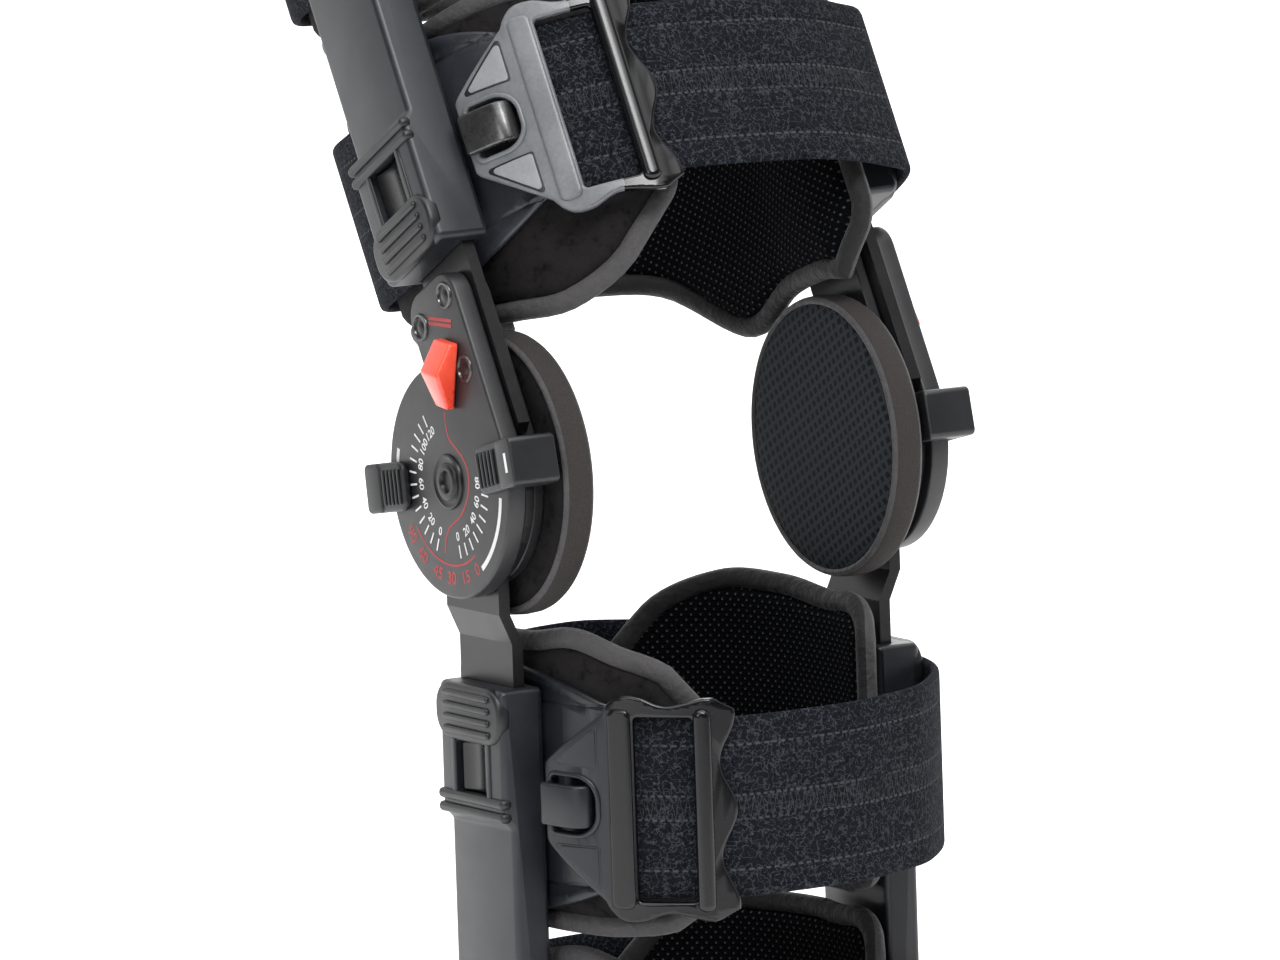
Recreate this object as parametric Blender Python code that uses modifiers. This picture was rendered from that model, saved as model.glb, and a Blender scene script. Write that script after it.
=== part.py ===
"""Post-operative knee brace: a dial hinge on each side, telescoping bars, cuffs with pads, straps, buckles.

Metres, +Z up. The origin is the knee's centre, on the hinge axis X.
-X is the leg's outer side, -Y its front.
Sizes below are in a section's own terms: u is outwards from the middle, f forwards, t up along the bars.
"""

import math

import bmesh
import bpy
from mathutils import Matrix, Vector

MM = 0.001
GAP = 0.3 * MM

# Lean of the two sections
THIGH_LEAN = math.radians(35.5)
CALF_LEAN = math.radians(5.5)

# Hinge layers along u
ARM_INNER = 62.2 * MM
ARM_THICK = 3.5 * MM
REAR_THICK = 3.1 * MM
FACE_THICK = 6.0 * MM
ARM_OUTER = ARM_INNER + ARM_THICK
FACE_INNER = ARM_OUTER + GAP
FACE_OUTER = FACE_INNER + FACE_THICK
REAR_INNER = ARM_INNER - GAP - REAR_THICK

# Hinge outlines
DISC_RADIUS = 33 * MM
HEAD_RADIUS = 30 * MM
NECK_WIDTH = 28 * MM
NECK_TOP = 52 * MM
NECK_CORNER = 8 * MM
PLATE_EDGE = 0.6 * MM

# Pivot rivet
PIVOT_RADIUS = 4 * MM
PIVOT_CLEAR = 0.3 * MM
PIVOT_HEAD = 7.9 * MM
PIVOT_HEAD_THICK = 1.2 * MM
PIVOT_DIMPLE = 3 * MM

# Red lock switch, on the line from the pivot through the neck
LOCK_WIDTH = 9.5 * MM
LOCK_LENGTH = 19 * MM
LOCK_RISE = 7 * MM
LOCK_FOOT = 2.5 * MM
LOCK_REACH = 30.8 * MM
LOCK_TILT = THIGH_LEAN

# Range stops on the disc's rim
STOP_RIM = 9 * MM
STOP_HEIGHT = 14 * MM
STOP_CHEEK = 3 * MM
STOP_LAP = 12 * MM
STOP_DEPTH = 15 * MM
FLEXION_STOP_DEPTH = 9 * MM
EXTENSION_STOP_ANGLE = math.radians(19.5)
FLEXION_STOP_ANGLE = math.radians(194)

# Condyle pad
CONDYLE_RADIUS = 40 * MM
CONDYLE_THICK = 10.2 * MM
CONDYLE_CROWN = 2 * MM
CONDYLE_FORWARD = 2 * MM

# Bars
ARM_WIDTH = 29 * MM
BAR_WIDTH = ARM_WIDTH - 2 * MM
BAR_REACH = 165 * MM
JOGGLE = 3.8 * MM
JOGGLE_START = 37 * MM
JOGGLE_RUN = 8.4 * MM

# Sleeves
SLEEVE_SIDE = 2.75 * MM
SLEEVE_WIDTH = ARM_WIDTH + 2 * SLEEVE_SIDE
SLEEVE_START = 57.7 * MM
SLEEVE_END = 214 * MM
SLEEVE_BACK = 3.1 * MM
BLOCK_LENGTH = 36.5 * MM
BLOCK_RISE = 2.8 * MM
BLOCK_SLOPE = 3 * MM
SLIDE_CLEAR = 0.4 * MM
SLEEVE_EDGE = 1.2 * MM
WINDOW_WIDTH = 16.5 * MM
WINDOW_LENGTH = 15 * MM
WINDOW_FROM_START = 23.6 * MM
BUTTON_RECESS = 1.4 * MM
BUTTON_THICK = 4.6 * MM

# Soft walls and straps
CUFF_WALL = 2.2 * MM
PAD_WALL = 7.4 * MM
STRAP_WALL = 2.6 * MM
STRAP_WIDTH = 51 * MM
PAD_HEIGHT = 84 * MM
CUFF_HEIGHT = 70 * MM

# Two pads on one side share the step from the near strap to the far one
PAD_REACH_SHARE = 1.04
PAD_SPACE = 2.6 * MM
LEVEL_STEP = PAD_HEIGHT * PAD_REACH_SHARE + PAD_SPACE

# Buckle, in w along the strap and t
BUCKLE_THICK = 3 * MM
SLOT_CLEAR = 0.5 * MM
BUCKLE_END = 5 * MM
BUCKLE_BAR = 8.2 * MM
SLOT_WIDTH = 15.6 * MM
SLOT_HEIGHT = STRAP_WIDTH + 2 * SLOT_CLEAR
BUCKLE_HEIGHT = SLOT_HEIGHT + 2 * BUCKLE_END
BUCKLE_HALF = SLOT_WIDTH / 2 + BUCKLE_BAR
BUCKLE_BENDS = 7
GRIP_WAVE = 2.6 * MM
FLANGE_REACH = 35 * MM
FLANGE_TIP = 21 * MM
FLANGE_RIM = 3.6 * MM
HOOK_WINDOW_HEIGHT = 16 * MM
HOOK_HEIGHT = 12 * MM
HOOK_WALL = 2.4 * MM
HOOK_STEM = 20 * MM
STRAP_END = 13 * MM

SIDES = {"lateral": -1, "medial": 1}

SECTIONS = {
    "thigh": {
        "lean": THIGH_LEAN, "way": 1, "bar_centre": 21 * MM, "sleeve_centre": 21.5 * MM,
        "bar_inner": ARM_INNER, "face_wall": 6.4 * MM, "half_depth": 64 * MM, "tilt": 0.05,
        "strap_level": 87.5 * MM, "back_rise": 12.8 * MM, "buckle_turn": 25.7,
    },
    "calf": {
        "lean": CALF_LEAN, "way": -1, "bar_centre": 0.0, "sleeve_centre": 1.5 * MM,
        "bar_inner": ARM_INNER - JOGGLE, "face_wall": 3.6 * MM, "half_depth": 59 * MM, "tilt": 0.045,
        "strap_level": 87.5 * MM, "back_rise": 5 * MM, "buckle_turn": 34.3,
    },
}

# Stations of the wall round the leg, from the middle of its back, as shares of the half sizes
BACK_STATIONS = [
    {"across": 0.03, "forward": -1.00},
    {"across": 0.42, "forward": -0.93},
    {"across": 0.78, "forward": -0.70},
    {"across": 0.96, "forward": -0.32},
    {"across": 1.00, "forward": 0.08},
    {"across": 0.97, "forward": 0.42},
]
FRONT_STATIONS = {
    "thigh_lateral": [
        {"across": 0.82, "forward": 0.72},
        {"across": 0.52, "forward": 0.94},
        {"across": 0.16, "forward": 1.04},
    ],
    "thigh_medial": [
        {"across": 0.99, "forward": 0.62},
        {"across": 1.06, "forward": 0.80},
    ],
    "calf_lateral": [
        {"across": 0.84, "forward": 0.68},
        {"across": 0.58, "forward": 0.90},
        {"across": 0.26, "forward": 1.02},
    ],
    "calf_medial": [{"across": 0.90, "forward": 0.56}],
}
# A pad's reach towards the knee at each station, as shares of its height, and away from the knee at the last
PAD_KNEE = {
    "thigh_lateral": [0.26, 0.27, 0.34, 0.49, 0.54, 0.62, 0.68, 0.60, 0.36],
    "thigh_medial": [0.16, 0.18, 0.28, 0.56, 0.54, 0.595, 0.65, 0.50],
    "calf_lateral": [0.26, 0.27, 0.34, 0.49, 0.52, 0.55, 0.50, 0.41, 0.16],
    "calf_medial": [0.22, 0.47, 0.57, 0.57, 0.54, 0.565, 0.54],
}
PAD_FAR = 0.48
PAD_FAR_ENDS = {
    "thigh_lateral": [0.45, 0.30],
    "thigh_medial": [0.42],
    "calf_lateral": [0.45, 0.30],
    "calf_medial": [0.42],
}
FAR_PAD_KNEE = PAD_REACH_SHARE - PAD_FAR - 0.01
# The strap's way over the front, between the medial sleeve and the lateral wall
STRAP_FRONT = {
    "thigh": [(0.82, 0.84), (0.52, 1.00), (0.22, 1.06)],
    "calf": [(0.74, 0.80), (0.46, 0.98), (0.20, 1.06)],
}
CUFF_FRONT_SHARE = 0.86


def clear_scene():
    for thing in list(bpy.data.objects):
        bpy.data.objects.remove(thing, do_unlink=True)


def new_collection(name, hidden=False):
    made = bpy.data.collections.new(name)
    bpy.context.scene.collection.children.link(made)
    made.hide_render = hidden
    return made


def new_material(name, colour, roughness, metallic=0.0):
    made = bpy.data.materials.new(name)
    made.use_nodes = True
    shader = made.node_tree.nodes["Principled BSDF"]
    shader.inputs["Base Color"].default_value = (*colour, 1.0)
    shader.inputs["Roughness"].default_value = roughness
    shader.inputs["Metallic"].default_value = metallic
    return made


def arc(centre, radius, start, end, steps):
    """Points on an arc, from one angle to another in degrees."""
    turn = [math.radians(start + (end - start) * i / steps) for i in range(steps + 1)]
    return [(centre[0] + radius * math.cos(a), centre[1] + radius * math.sin(a)) for a in turn]


def rounded(corners, steps=4):
    """An outline whose corners (x, y, radius) are rounded with short arcs."""
    points = []
    for i, (x, y, radius) in enumerate(corners):
        here = Vector((x, y))
        if radius <= 0:
            points.append((x, y))
            continue
        before = (Vector(corners[i - 1][:2]) - here).normalized()
        after = (Vector(corners[(i + 1) % len(corners)][:2]) - here).normalized()
        half = before.angle(after) / 2
        middle = here + (before + after).normalized() * (radius / math.sin(half))
        first = here + before * (radius / math.tan(half)) - middle
        last = here + after * (radius / math.tan(half)) - middle
        sweep = first.angle_signed(last)
        for k in range(steps + 1):
            spoke = first.copy()
            spoke.rotate(Matrix.Rotation(-sweep * k / steps, 2))
            points.append(tuple(middle + spoke))
    return points


def box_outline(x_low, x_high, y_low, y_high, radius=0.0):
    corners = [(x_low, y_low), (x_high, y_low), (x_high, y_high), (x_low, y_high)]
    return rounded([(x, y, radius) for x, y in corners])


def plate(outlines, low, high):
    """A flat outline, with any holes, as a closed bmesh from low to high along z."""
    curve = bpy.data.curves.new("outline", "CURVE")
    curve.dimensions = "2D"
    curve.fill_mode = "BOTH"
    curve.extrude = (high - low) / 2
    for points in outlines:
        spline = curve.splines.new("POLY")
        spline.points.add(len(points) - 1)
        for point, (x, y) in zip(spline.points, points):
            point.co = (x, y, 0.0, 1.0)
        spline.use_cyclic_u = True
    guide = bpy.data.objects.new("outline", curve)
    bpy.context.scene.collection.objects.link(guide)
    graph = bpy.context.evaluated_depsgraph_get()
    mesh = bpy.data.meshes.new_from_object(guide.evaluated_get(graph))
    bpy.data.objects.remove(guide)
    made = bmesh.new()
    made.from_mesh(mesh)
    bpy.data.meshes.remove(mesh)
    bmesh.ops.remove_doubles(made, verts=made.verts, dist=1e-6)
    bmesh.ops.translate(made, verts=made.verts, vec=(0, 0, (low + high) / 2))
    bmesh.ops.recalc_face_normals(made, faces=made.faces)
    return made


# Turns a plate from outline terms into a section's: X = u, Y = -f, Z = t
FACE_ON = Matrix(((0, 0, 1, 0), (-1, 0, 0, 0), (0, 1, 0, 0), (0, 0, 0, 1)))
EDGE_ON = Matrix(((1, 0, 0, 0), (0, 0, -1, 0), (0, 1, 0, 0), (0, 0, 0, 1)))
# Stands a plate drawn in w and n on its edge, as the strap's own terms have it
ACROSS = Matrix(((1, 0, 0, 0), (0, 0, 1, 0), (0, 1, 0, 0), (0, 0, 0, 1)))


def laid(made, lay):
    bmesh.ops.transform(made, matrix=lay, verts=made.verts)
    return made


def add_object(name, made, section, side, material, home):
    """Mirrors a bmesh to its side of the leg and hangs it on its section's empty."""
    bmesh.ops.transform(made, matrix=Matrix.Diagonal((side, 1, 1, 1)), verts=made.verts)
    bmesh.ops.recalc_face_normals(made, faces=made.faces)
    mesh = bpy.data.meshes.new(name)
    made.to_mesh(mesh)
    made.free()
    thing = bpy.data.objects.new(name, mesh)
    home.objects.link(thing)
    thing.parent = EMPTIES[section]
    if material:
        mesh.materials.append(material)
    mesh.shade_smooth()
    mesh.set_sharp_from_angle(angle=math.radians(35))
    return thing


def add_part(name, made, section, side, material, edge=0.0):
    thing = add_object(name, made, section, side, material, PARTS)
    if edge > 0:
        bevel = thing.modifiers.new("edge", "BEVEL")
        bevel.width = edge
        bevel.segments = 1
        bevel.limit_method = "ANGLE"
        bevel.angle_limit = math.radians(50)
    return thing


def cut(thing, made, section, side):
    cutter = add_object(thing.name + "_cutter", made, section, side, None, CUTTERS)
    cutter.hide_render = True
    cutter.display_type = "WIRE"
    boolean = thing.modifiers.new("cut", "BOOLEAN")
    boolean.operation = "DIFFERENCE"
    boolean.object = cutter


def fuse(thing, made, section, side):
    """Joins one more closed shape to a part."""
    extra = add_object(thing.name + "_joined", made, section, side, None, CUTTERS)
    extra.hide_render = True
    extra.display_type = "WIRE"
    boolean = thing.modifiers.new("join", "BOOLEAN")
    boolean.operation = "UNION"
    boolean.object = extra


def turned(name, profile, section, side, material, forward=0.0, steps=28):
    """A turned piece about the hinge axis: profile (radius, u), from its outer end to its inner one."""
    mesh = bpy.data.meshes.new(name)
    made = bmesh.new()
    points = [made.verts.new((radius, 0, u)) for radius, u in profile]
    for first, second in zip(points, points[1:]):
        made.edges.new((first, second))
    made.to_mesh(mesh)
    made.free()
    mesh.materials.append(material)
    thing = bpy.data.objects.new(name, mesh)
    PARTS.objects.link(thing)
    thing.parent = EMPTIES[section]
    thing.rotation_euler = (0, side * math.pi / 2, 0)
    thing.location = (0, -forward, 0)
    screw = thing.modifiers.new("turn", "SCREW")
    screw.steps = screw.render_steps = steps
    screw.use_merge_vertices = True
    screw.merge_threshold = 1e-5
    screw.use_smooth_shade = True
    return thing


def cylinder(radius, low, high, sides=24):
    return laid(plate([arc((0, 0), radius, 0, 360 - 360 / sides, sides - 1)], low, high), FACE_ON)


# Routes around the leg

def smooth_route(points, count):
    """Evenly spaced points on a smooth curve through the given ones."""
    dense = []
    ends = [points[0], *points, points[-1]]
    for a, b, c, d in zip(ends, ends[1:], ends[2:], ends[3:]):
        for k in range(12):
            s = k / 12
            dense.append(tuple(
                0.5 * (2 * q + (r - p) * s + (2 * p - 5 * q + 4 * r - w) * s * s
                       + (3 * q - p - 3 * r + w) * s ** 3)
                for p, q, r, w in zip(a, b, c, d)
            ))
    dense.append(tuple(points[-1]))
    lengths = [0.0]
    for a, b in zip(dense, dense[1:]):
        lengths.append(lengths[-1] + math.dist(a[:2], b[:2]))
    route = []
    for i in range(count + 1):
        want = lengths[-1] * i / count
        k = max(j for j in range(len(lengths) - 1) if lengths[j] <= want or j == 0)
        share = (want - lengths[k]) / (lengths[k + 1] - lengths[k])
        route.append(tuple(p + (q - p) * share for p, q in zip(dense[k], dense[k + 1])))
    return route, lengths[-1]


def at_length(route, length, where):
    """The point, direction and outward normal at a distance along a route."""
    step = length / (len(route) - 1)
    k = min(max(int(where / step), 0), len(route) - 2)
    a, b = Vector(route[k][:2]), Vector(route[k + 1][:2])
    direction = (b - a).normalized()
    outward = Vector((direction.y, -direction.x))
    return a + direction * (where - k * step), direction, outward


def wrapped(made, route, length, centre, level, tilt):
    """Bends a flat piece, in w, t and n, onto a route; w runs back against the route's direction."""
    for vertex in made.verts:
        w, t, n = vertex.co
        place, _, outward = at_length(route, length, centre - w)
        place = place + outward * n
        vertex.co = (place.x, -place.y, level + t - tilt * place.y)
    return made


def level_all_round(f):
    return 0.0


def strap_drop(section, f):
    """How far a strap lies under its level at a place: it slopes down to the front and rises behind."""
    values = SECTIONS[section]
    behind = min(f, 0.0) / values["half_depth"]
    return values["tilt"] * f - values["back_rise"] * behind * behind


def band(route, low, high, rows, drop, level):
    """An open surface along a route, in rows; low and high are distances from its level."""
    made = bmesh.new()
    last = len(route) - 1
    grid = []
    for i, (x, f, *_) in enumerate(route):
        bottom, top = low(i / last), high(i / last)
        heights = [bottom + (top - bottom) * k / rows for k in range(rows + 1)]
        grid.append([made.verts.new((x, -f, level + t - drop(f))) for t in heights])
    for a, b in zip(grid, grid[1:]):
        for k in range(rows):
            made.faces.new((a[k], b[k], b[k + 1], a[k + 1]))
    return made


def add_wall(name, made, section, side, material, wall):
    """An open surface given its thickness, half to each side."""
    thing = add_object(name, made, section, side, material, PARTS)
    shell = thing.modifiers.new("wall", "SOLIDIFY")
    shell.thickness = wall
    shell.offset = 0
    shell.use_even_offset = True
    return thing


# Hinges

def hinge_outline(radius, front, width, top, corner):
    rear = front - width
    meet = math.degrees(math.acos(rear / radius))
    root = radius * math.sin(math.radians(meet))
    crown = rounded([(front, 0, 0), (front, top, corner), (rear, top, corner), (rear, root, 0)])
    disc = arc((0, 0), radius, meet, 360, 34)
    return crown[1:-1] + disc[:-1] + [(radius, 0.0)]


def build_hinge(name, side):
    pivot_hole = PIVOT_RADIUS + PIVOT_CLEAR
    through = (REAR_INNER - GAP * 4, FACE_OUTER + GAP * 4)
    outline = hinge_outline(DISC_RADIUS, DISC_RADIUS, NECK_WIDTH, NECK_TOP, NECK_CORNER)
    face = add_part("hinge_face_" + name, laid(plate([outline], FACE_INNER, FACE_OUTER), FACE_ON),
                    "thigh", side, PLATE, PLATE_EDGE)
    cut(face, cylinder(pivot_hole, *through), "thigh", side)
    outline = hinge_outline(HEAD_RADIUS, HEAD_RADIUS, NECK_WIDTH - 2 * MM, NECK_TOP, NECK_CORNER)
    made = laid(plate([outline], REAR_INNER, REAR_INNER + REAR_THICK), FACE_ON)
    rear = add_part("hinge_rear_" + name, made,
                    "thigh", side, PLASTIC, PLATE_EDGE)
    cut(rear, cylinder(pivot_hole, *through), "thigh", side)
    head = FACE_OUTER + GAP
    turned("pivot_" + name, [
        (0, head + PIVOT_HEAD_THICK * 0.3), (PIVOT_DIMPLE, head + PIVOT_HEAD_THICK * 0.3),
        (PIVOT_DIMPLE * 1.1, head + PIVOT_HEAD_THICK), (PIVOT_HEAD * 0.7, head + PIVOT_HEAD_THICK),
        (PIVOT_HEAD, head + PIVOT_HEAD_THICK * 0.6), (PIVOT_HEAD, head), (PIVOT_RADIUS, head),
        (PIVOT_RADIUS, REAR_INNER), (0, REAR_INNER),
    ], "thigh", side, METAL, steps=20)
    back = REAR_INNER - GAP
    crown = CONDYLE_THICK / 2
    turned("condyle_pad_" + name, [
        (0, back), (CONDYLE_RADIUS * 0.88, back), (CONDYLE_RADIUS * 0.97, back - crown * 0.35),
        (CONDYLE_RADIUS, back - crown), (CONDYLE_RADIUS * 0.97, back - CONDYLE_THICK + crown * 0.4),
        (CONDYLE_RADIUS * 0.9, back - CONDYLE_THICK),
        (CONDYLE_RADIUS * 0.5, back - CONDYLE_THICK + CONDYLE_CROWN * 0.6),
        (0, back - CONDYLE_THICK + CONDYLE_CROWN),
    ], "thigh", side, PAD_CLOTH, forward=CONDYLE_FORWARD)


def build_upper_bar(name, side):
    centre = SECTIONS["thigh"]["bar_centre"]
    rear, front = centre - BAR_WIDTH / 2, centre + BAR_WIDTH / 2
    clear = HEAD_RADIUS + 1.5 * MM
    high = math.degrees(math.acos(rear / clear))
    low = math.degrees(math.acos(min(front / clear, 1.0)))
    outline = arc((0, 0), clear, high, low, 8)
    outline += [(front, clear * 0.06), (front, BAR_REACH), (rear, BAR_REACH)]
    add_part("upper_bar_" + name, laid(plate([outline], ARM_INNER, ARM_OUTER), FACE_ON), "thigh", side, METAL)


def build_lower_arm(name, side):
    half = ARM_WIDTH / 2
    meet = math.degrees(math.asin(half / HEAD_RADIUS))
    outline = arc((0, 0), HEAD_RADIUS, -90 + meet, 270 - meet, 30)
    outline += [(-half, -BAR_REACH), (half, -BAR_REACH)]
    made = laid(plate([outline], ARM_INNER, ARM_OUTER), FACE_ON)
    for level in (JOGGLE_START, JOGGLE_START + JOGGLE_RUN):
        bmesh.ops.bisect_plane(made, geom=made.verts[:] + made.edges[:] + made.faces[:], dist=1e-7,
                               plane_co=(0, 0, -level), plane_no=(0, 0, 1))
    for vertex in made.verts:
        if vertex.co.z < -JOGGLE_START - 1e-6:
            vertex.co.x -= JOGGLE
    arm = add_part("lower_arm_" + name, made, "calf", side, METAL)
    cut(arm, cylinder(PIVOT_RADIUS + PIVOT_CLEAR, REAR_INNER, FACE_OUTER), "calf", side)


def build_lock(name, side):
    base = FACE_OUTER + GAP
    bottom, top = LOCK_REACH - LOCK_LENGTH / 2, LOCK_REACH + LOCK_LENGTH / 2
    profile = rounded([
        (base, bottom, 0), (base + LOCK_FOOT, bottom, 0.5 * MM),
        (base + LOCK_RISE, LOCK_REACH + LOCK_LENGTH * 0.05, 1.2 * MM),
        (base + LOCK_FOOT, top, 0.5 * MM), (base, top, 0),
    ])
    made = laid(plate([profile], -LOCK_WIDTH / 2, LOCK_WIDTH / 2), EDGE_ON)
    bmesh.ops.rotate(made, verts=made.verts, cent=(0, 0, 0), matrix=Matrix.Rotation(LOCK_TILT, 3, "X"))
    add_part("lock_switch_" + name, made, "thigh", side, RED, 0.7 * MM)


def build_stop(name, side, kind, angle, depth):
    """A tab over the disc's rim: a cheek on the face, and a block outside the rim."""
    inner = DISC_RADIUS + GAP
    outer = DISC_RADIUS + STOP_RIM
    top = FACE_OUTER + GAP + STOP_CHEEK
    half = STOP_HEIGHT / 2
    block = laid(plate([box_outline(inner, outer, -half, half, 1.5 * MM)], top - depth, top), FACE_ON)
    cheek = laid(plate([box_outline(DISC_RADIUS - STOP_LAP, outer - 1 * MM, -half, half, 2.5 * MM)],
                       FACE_OUTER + GAP, top), FACE_ON)
    turn = Matrix.Rotation(-(angle - THIGH_LEAN), 3, "X")
    for piece in (block, cheek):
        bmesh.ops.rotate(piece, verts=piece.verts, cent=(0, 0, 0), matrix=turn)
    stop = add_part(f"{kind}_stop_{name}", block, "thigh", side, PLASTIC)
    fuse(stop, cheek, "thigh", side)


# Sections

def section_sizes(section):
    """What the pieces of one section share, worked out from the section's own sizes."""
    values = dict(SECTIONS[section])
    values["bar_outer"] = values["bar_inner"] + ARM_THICK
    values["sleeve_inner"] = values["bar_inner"] - SLIDE_CLEAR - SLEEVE_BACK
    values["face"] = values["bar_outer"] + SLIDE_CLEAR + values["face_wall"]
    values["block_face"] = values["face"] + BLOCK_RISE
    values["sleeve_rear"] = values["sleeve_centre"] - SLEEVE_WIDTH / 2
    values["sleeve_front"] = values["sleeve_centre"] + SLEEVE_WIDTH / 2
    values["cuff_across"] = values["sleeve_inner"] - GAP - CUFF_WALL / 2
    values["strap_offset"] = CUFF_WALL / 2 + GAP + STRAP_WALL / 2 + GAP
    return values


def build_sleeve(name, side, section):
    values = section_sizes(section)
    way = values["way"]
    start, end = way * SLEEVE_START, way * SLEEVE_END
    block_end = way * (SLEEVE_START + BLOCK_LENGTH)
    slope_end = way * (SLEEVE_START + BLOCK_LENGTH + BLOCK_SLOPE)
    profile = [
        (values["sleeve_inner"], start), (values["block_face"], start), (values["block_face"], block_end),
        (values["face"], slope_end), (values["face"], end), (values["sleeve_inner"], end),
    ]
    sleeve = add_part(
        f"{section}_sleeve_{name}",
        laid(plate([profile], values["sleeve_rear"], values["sleeve_front"]), EDGE_ON),
        section, side, SATIN, SLEEVE_EDGE,
    )
    bar_half = (BAR_WIDTH if section == "thigh" else ARM_WIDTH) / 2 + SLIDE_CLEAR
    past = 4 * MM
    ends = sorted((start - way * past, end + way * past))
    space = box_outline(values["bar_inner"] - SLIDE_CLEAR, values["bar_outer"] + SLIDE_CLEAR, *ends)
    bore = plate([space], values["bar_centre"] - bar_half, values["bar_centre"] + bar_half)
    cut(sleeve, laid(bore, EDGE_ON), section, side)
    middle = way * (SLEEVE_START + WINDOW_FROM_START)
    across = values["sleeve_centre"]
    window = box_outline(across - WINDOW_WIDTH / 2, across + WINDOW_WIDTH / 2,
                         middle - WINDOW_LENGTH / 2, middle + WINDOW_LENGTH / 2)
    opening = plate([window], values["bar_outer"], values["block_face"] + past)
    cut(sleeve, laid(opening, FACE_ON), section, side)
    insert = box_outline(across - WINDOW_WIDTH / 2 + GAP, across + WINDOW_WIDTH / 2 - GAP,
                         middle - WINDOW_LENGTH / 2 + GAP, middle + WINDOW_LENGTH / 2 - GAP, 1 * MM)
    top = values["block_face"] - BUTTON_RECESS
    foot = max(top - BUTTON_THICK, values["bar_outer"] + 2 * MM)
    button = laid(plate([insert], foot, top), FACE_ON)
    add_part(f"{section}_button_{name}", button, section, side, GLOSS, 0.4 * MM)


def shell_route(section, name):
    """The middle of the cuffs' wall on one side of the leg, as if that side were +X."""
    values = section_sizes(section)
    key = f"{section}_{name}"
    stations = BACK_STATIONS + FRONT_STATIONS[key]
    ends = PAD_FAR_ENDS[key]
    far = [PAD_FAR] * (len(stations) - len(ends)) + ends
    points = [(values["cuff_across"] * s["across"], values["half_depth"] * s["forward"], knee, reach)
              for s, knee, reach in zip(stations, PAD_KNEE[key], far)]
    return smooth_route(points, 32)[0]


def offset_route(route, distance):
    moved = []
    for i, (x, f, *more) in enumerate(route):
        before, after = route[max(i - 1, 0)], route[min(i + 1, len(route) - 1)]
        direction = Vector((after[0] - before[0], after[1] - before[1])).normalized()
        moved.append((x + direction.y * distance, f - direction.x * distance, *more))
    return moved


def strap_route(section):
    values = section_sizes(section)
    medial = values["block_face"] + GAP + STRAP_WALL / 2 + GAP
    lateral_wall = offset_route(shell_route(section, "lateral"), values["strap_offset"])
    start = values["sleeve_rear"] - 2 * GAP
    back = [(-x, f) for x, f, *_ in reversed(lateral_wall) if f < start - 6 * MM]
    points = [(-values["cuff_across"] - values["strap_offset"], start)] + back[::4]
    points += [(x, f) for x, f, *_ in lateral_wall[2::4] if f < -0.5 * values["half_depth"]]
    points += [(medial, values["sleeve_rear"] - 4 * MM), (medial, values["sleeve_front"] + 2 * MM)]
    points += [(medial * x, values["half_depth"] * f) for x, f in STRAP_FRONT[section]]
    points += [(-x, f) for x, f, *_ in lateral_wall[::-3] if f > values["sleeve_centre"]]
    return smooth_route(points, 96)


def buckle_place(section):
    """How far along the strap's route the buckle's slot lies: at its turn from straight ahead."""
    route, length = strap_route(section)
    wanted = SECTIONS[section]["buckle_turn"]
    step = length / (len(route) - 1)
    turns = [math.degrees(math.atan2(-x, f)) for x, f, *_ in route]
    for k in range(len(route) // 2, len(route)):
        if turns[k] >= wanted:
            return (k - (turns[k] - wanted) / (turns[k] - turns[k - 1])) * step
    return length * 0.9


def build_strap(section, label, level):
    values = section_sizes(section)
    route, length = strap_route(section)
    stop = buckle_place(section) + STRAP_END
    count = 44
    kept = [tuple(at_length(route, length, stop * i / count)[0]) for i in range(count + 1)]
    half = STRAP_WIDTH / 2
    made = band(kept, lambda s: -half, lambda s: half, 1, lambda f: strap_drop(section, f), level)
    add_wall(f"{label}_strap", made, section, 1, FELT, STRAP_WALL)


def buckle_outline():
    half, right = BUCKLE_HEIGHT / 2, BUCKLE_HALF
    crest = GRIP_WAVE
    grip = [(right + crest * math.sin(k * math.pi / 4) ** 2 * (1 if k % 4 else 0.4), half * (k / 5 - 1) * 0.9)
            for k in range(1, 10)]
    top = [(right - 2 * MM, half * 0.96), (right * 0.3, half * 0.93)]
    top += [(-right * 0.4, half), (-right, half * 0.93)]
    flange = [(-FLANGE_REACH, FLANGE_TIP / 2), (-FLANGE_REACH, -FLANGE_TIP / 2)]
    bottom = [(x, -t) for x, t in reversed(top)]
    return grip + top + flange + bottom


def build_buckle(section, label, level):
    values = section_sizes(section)
    route, length = strap_route(section)
    slot = box_outline(-SLOT_WIDTH / 2, SLOT_WIDTH / 2, -SLOT_HEIGHT / 2, SLOT_HEIGHT / 2)
    window = box_outline(-FLANGE_REACH + FLANGE_RIM, -BUCKLE_HALF - 1 * MM,
                         -HOOK_WINDOW_HEIGHT / 2, HOOK_WINDOW_HEIGHT / 2)
    low = STRAP_WALL / 2 + GAP
    made = plate([buckle_outline(), slot, window], low, low + BUCKLE_THICK)
    for k in range(1, BUCKLE_BENDS):
        w = -FLANGE_REACH + (FLANGE_REACH + BUCKLE_HALF) * k / BUCKLE_BENDS
        bmesh.ops.bisect_plane(made, geom=made.verts[:] + made.edges[:] + made.faces[:], dist=1e-7,
                               plane_co=(w, 0, 0), plane_no=(1, 0, 0))
    wrapped(made, route, length, buckle_place(section), level, values["tilt"])
    add_part(f"{label}_buckle", made, section, 1, GLOSS, 0.5 * MM)


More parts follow.
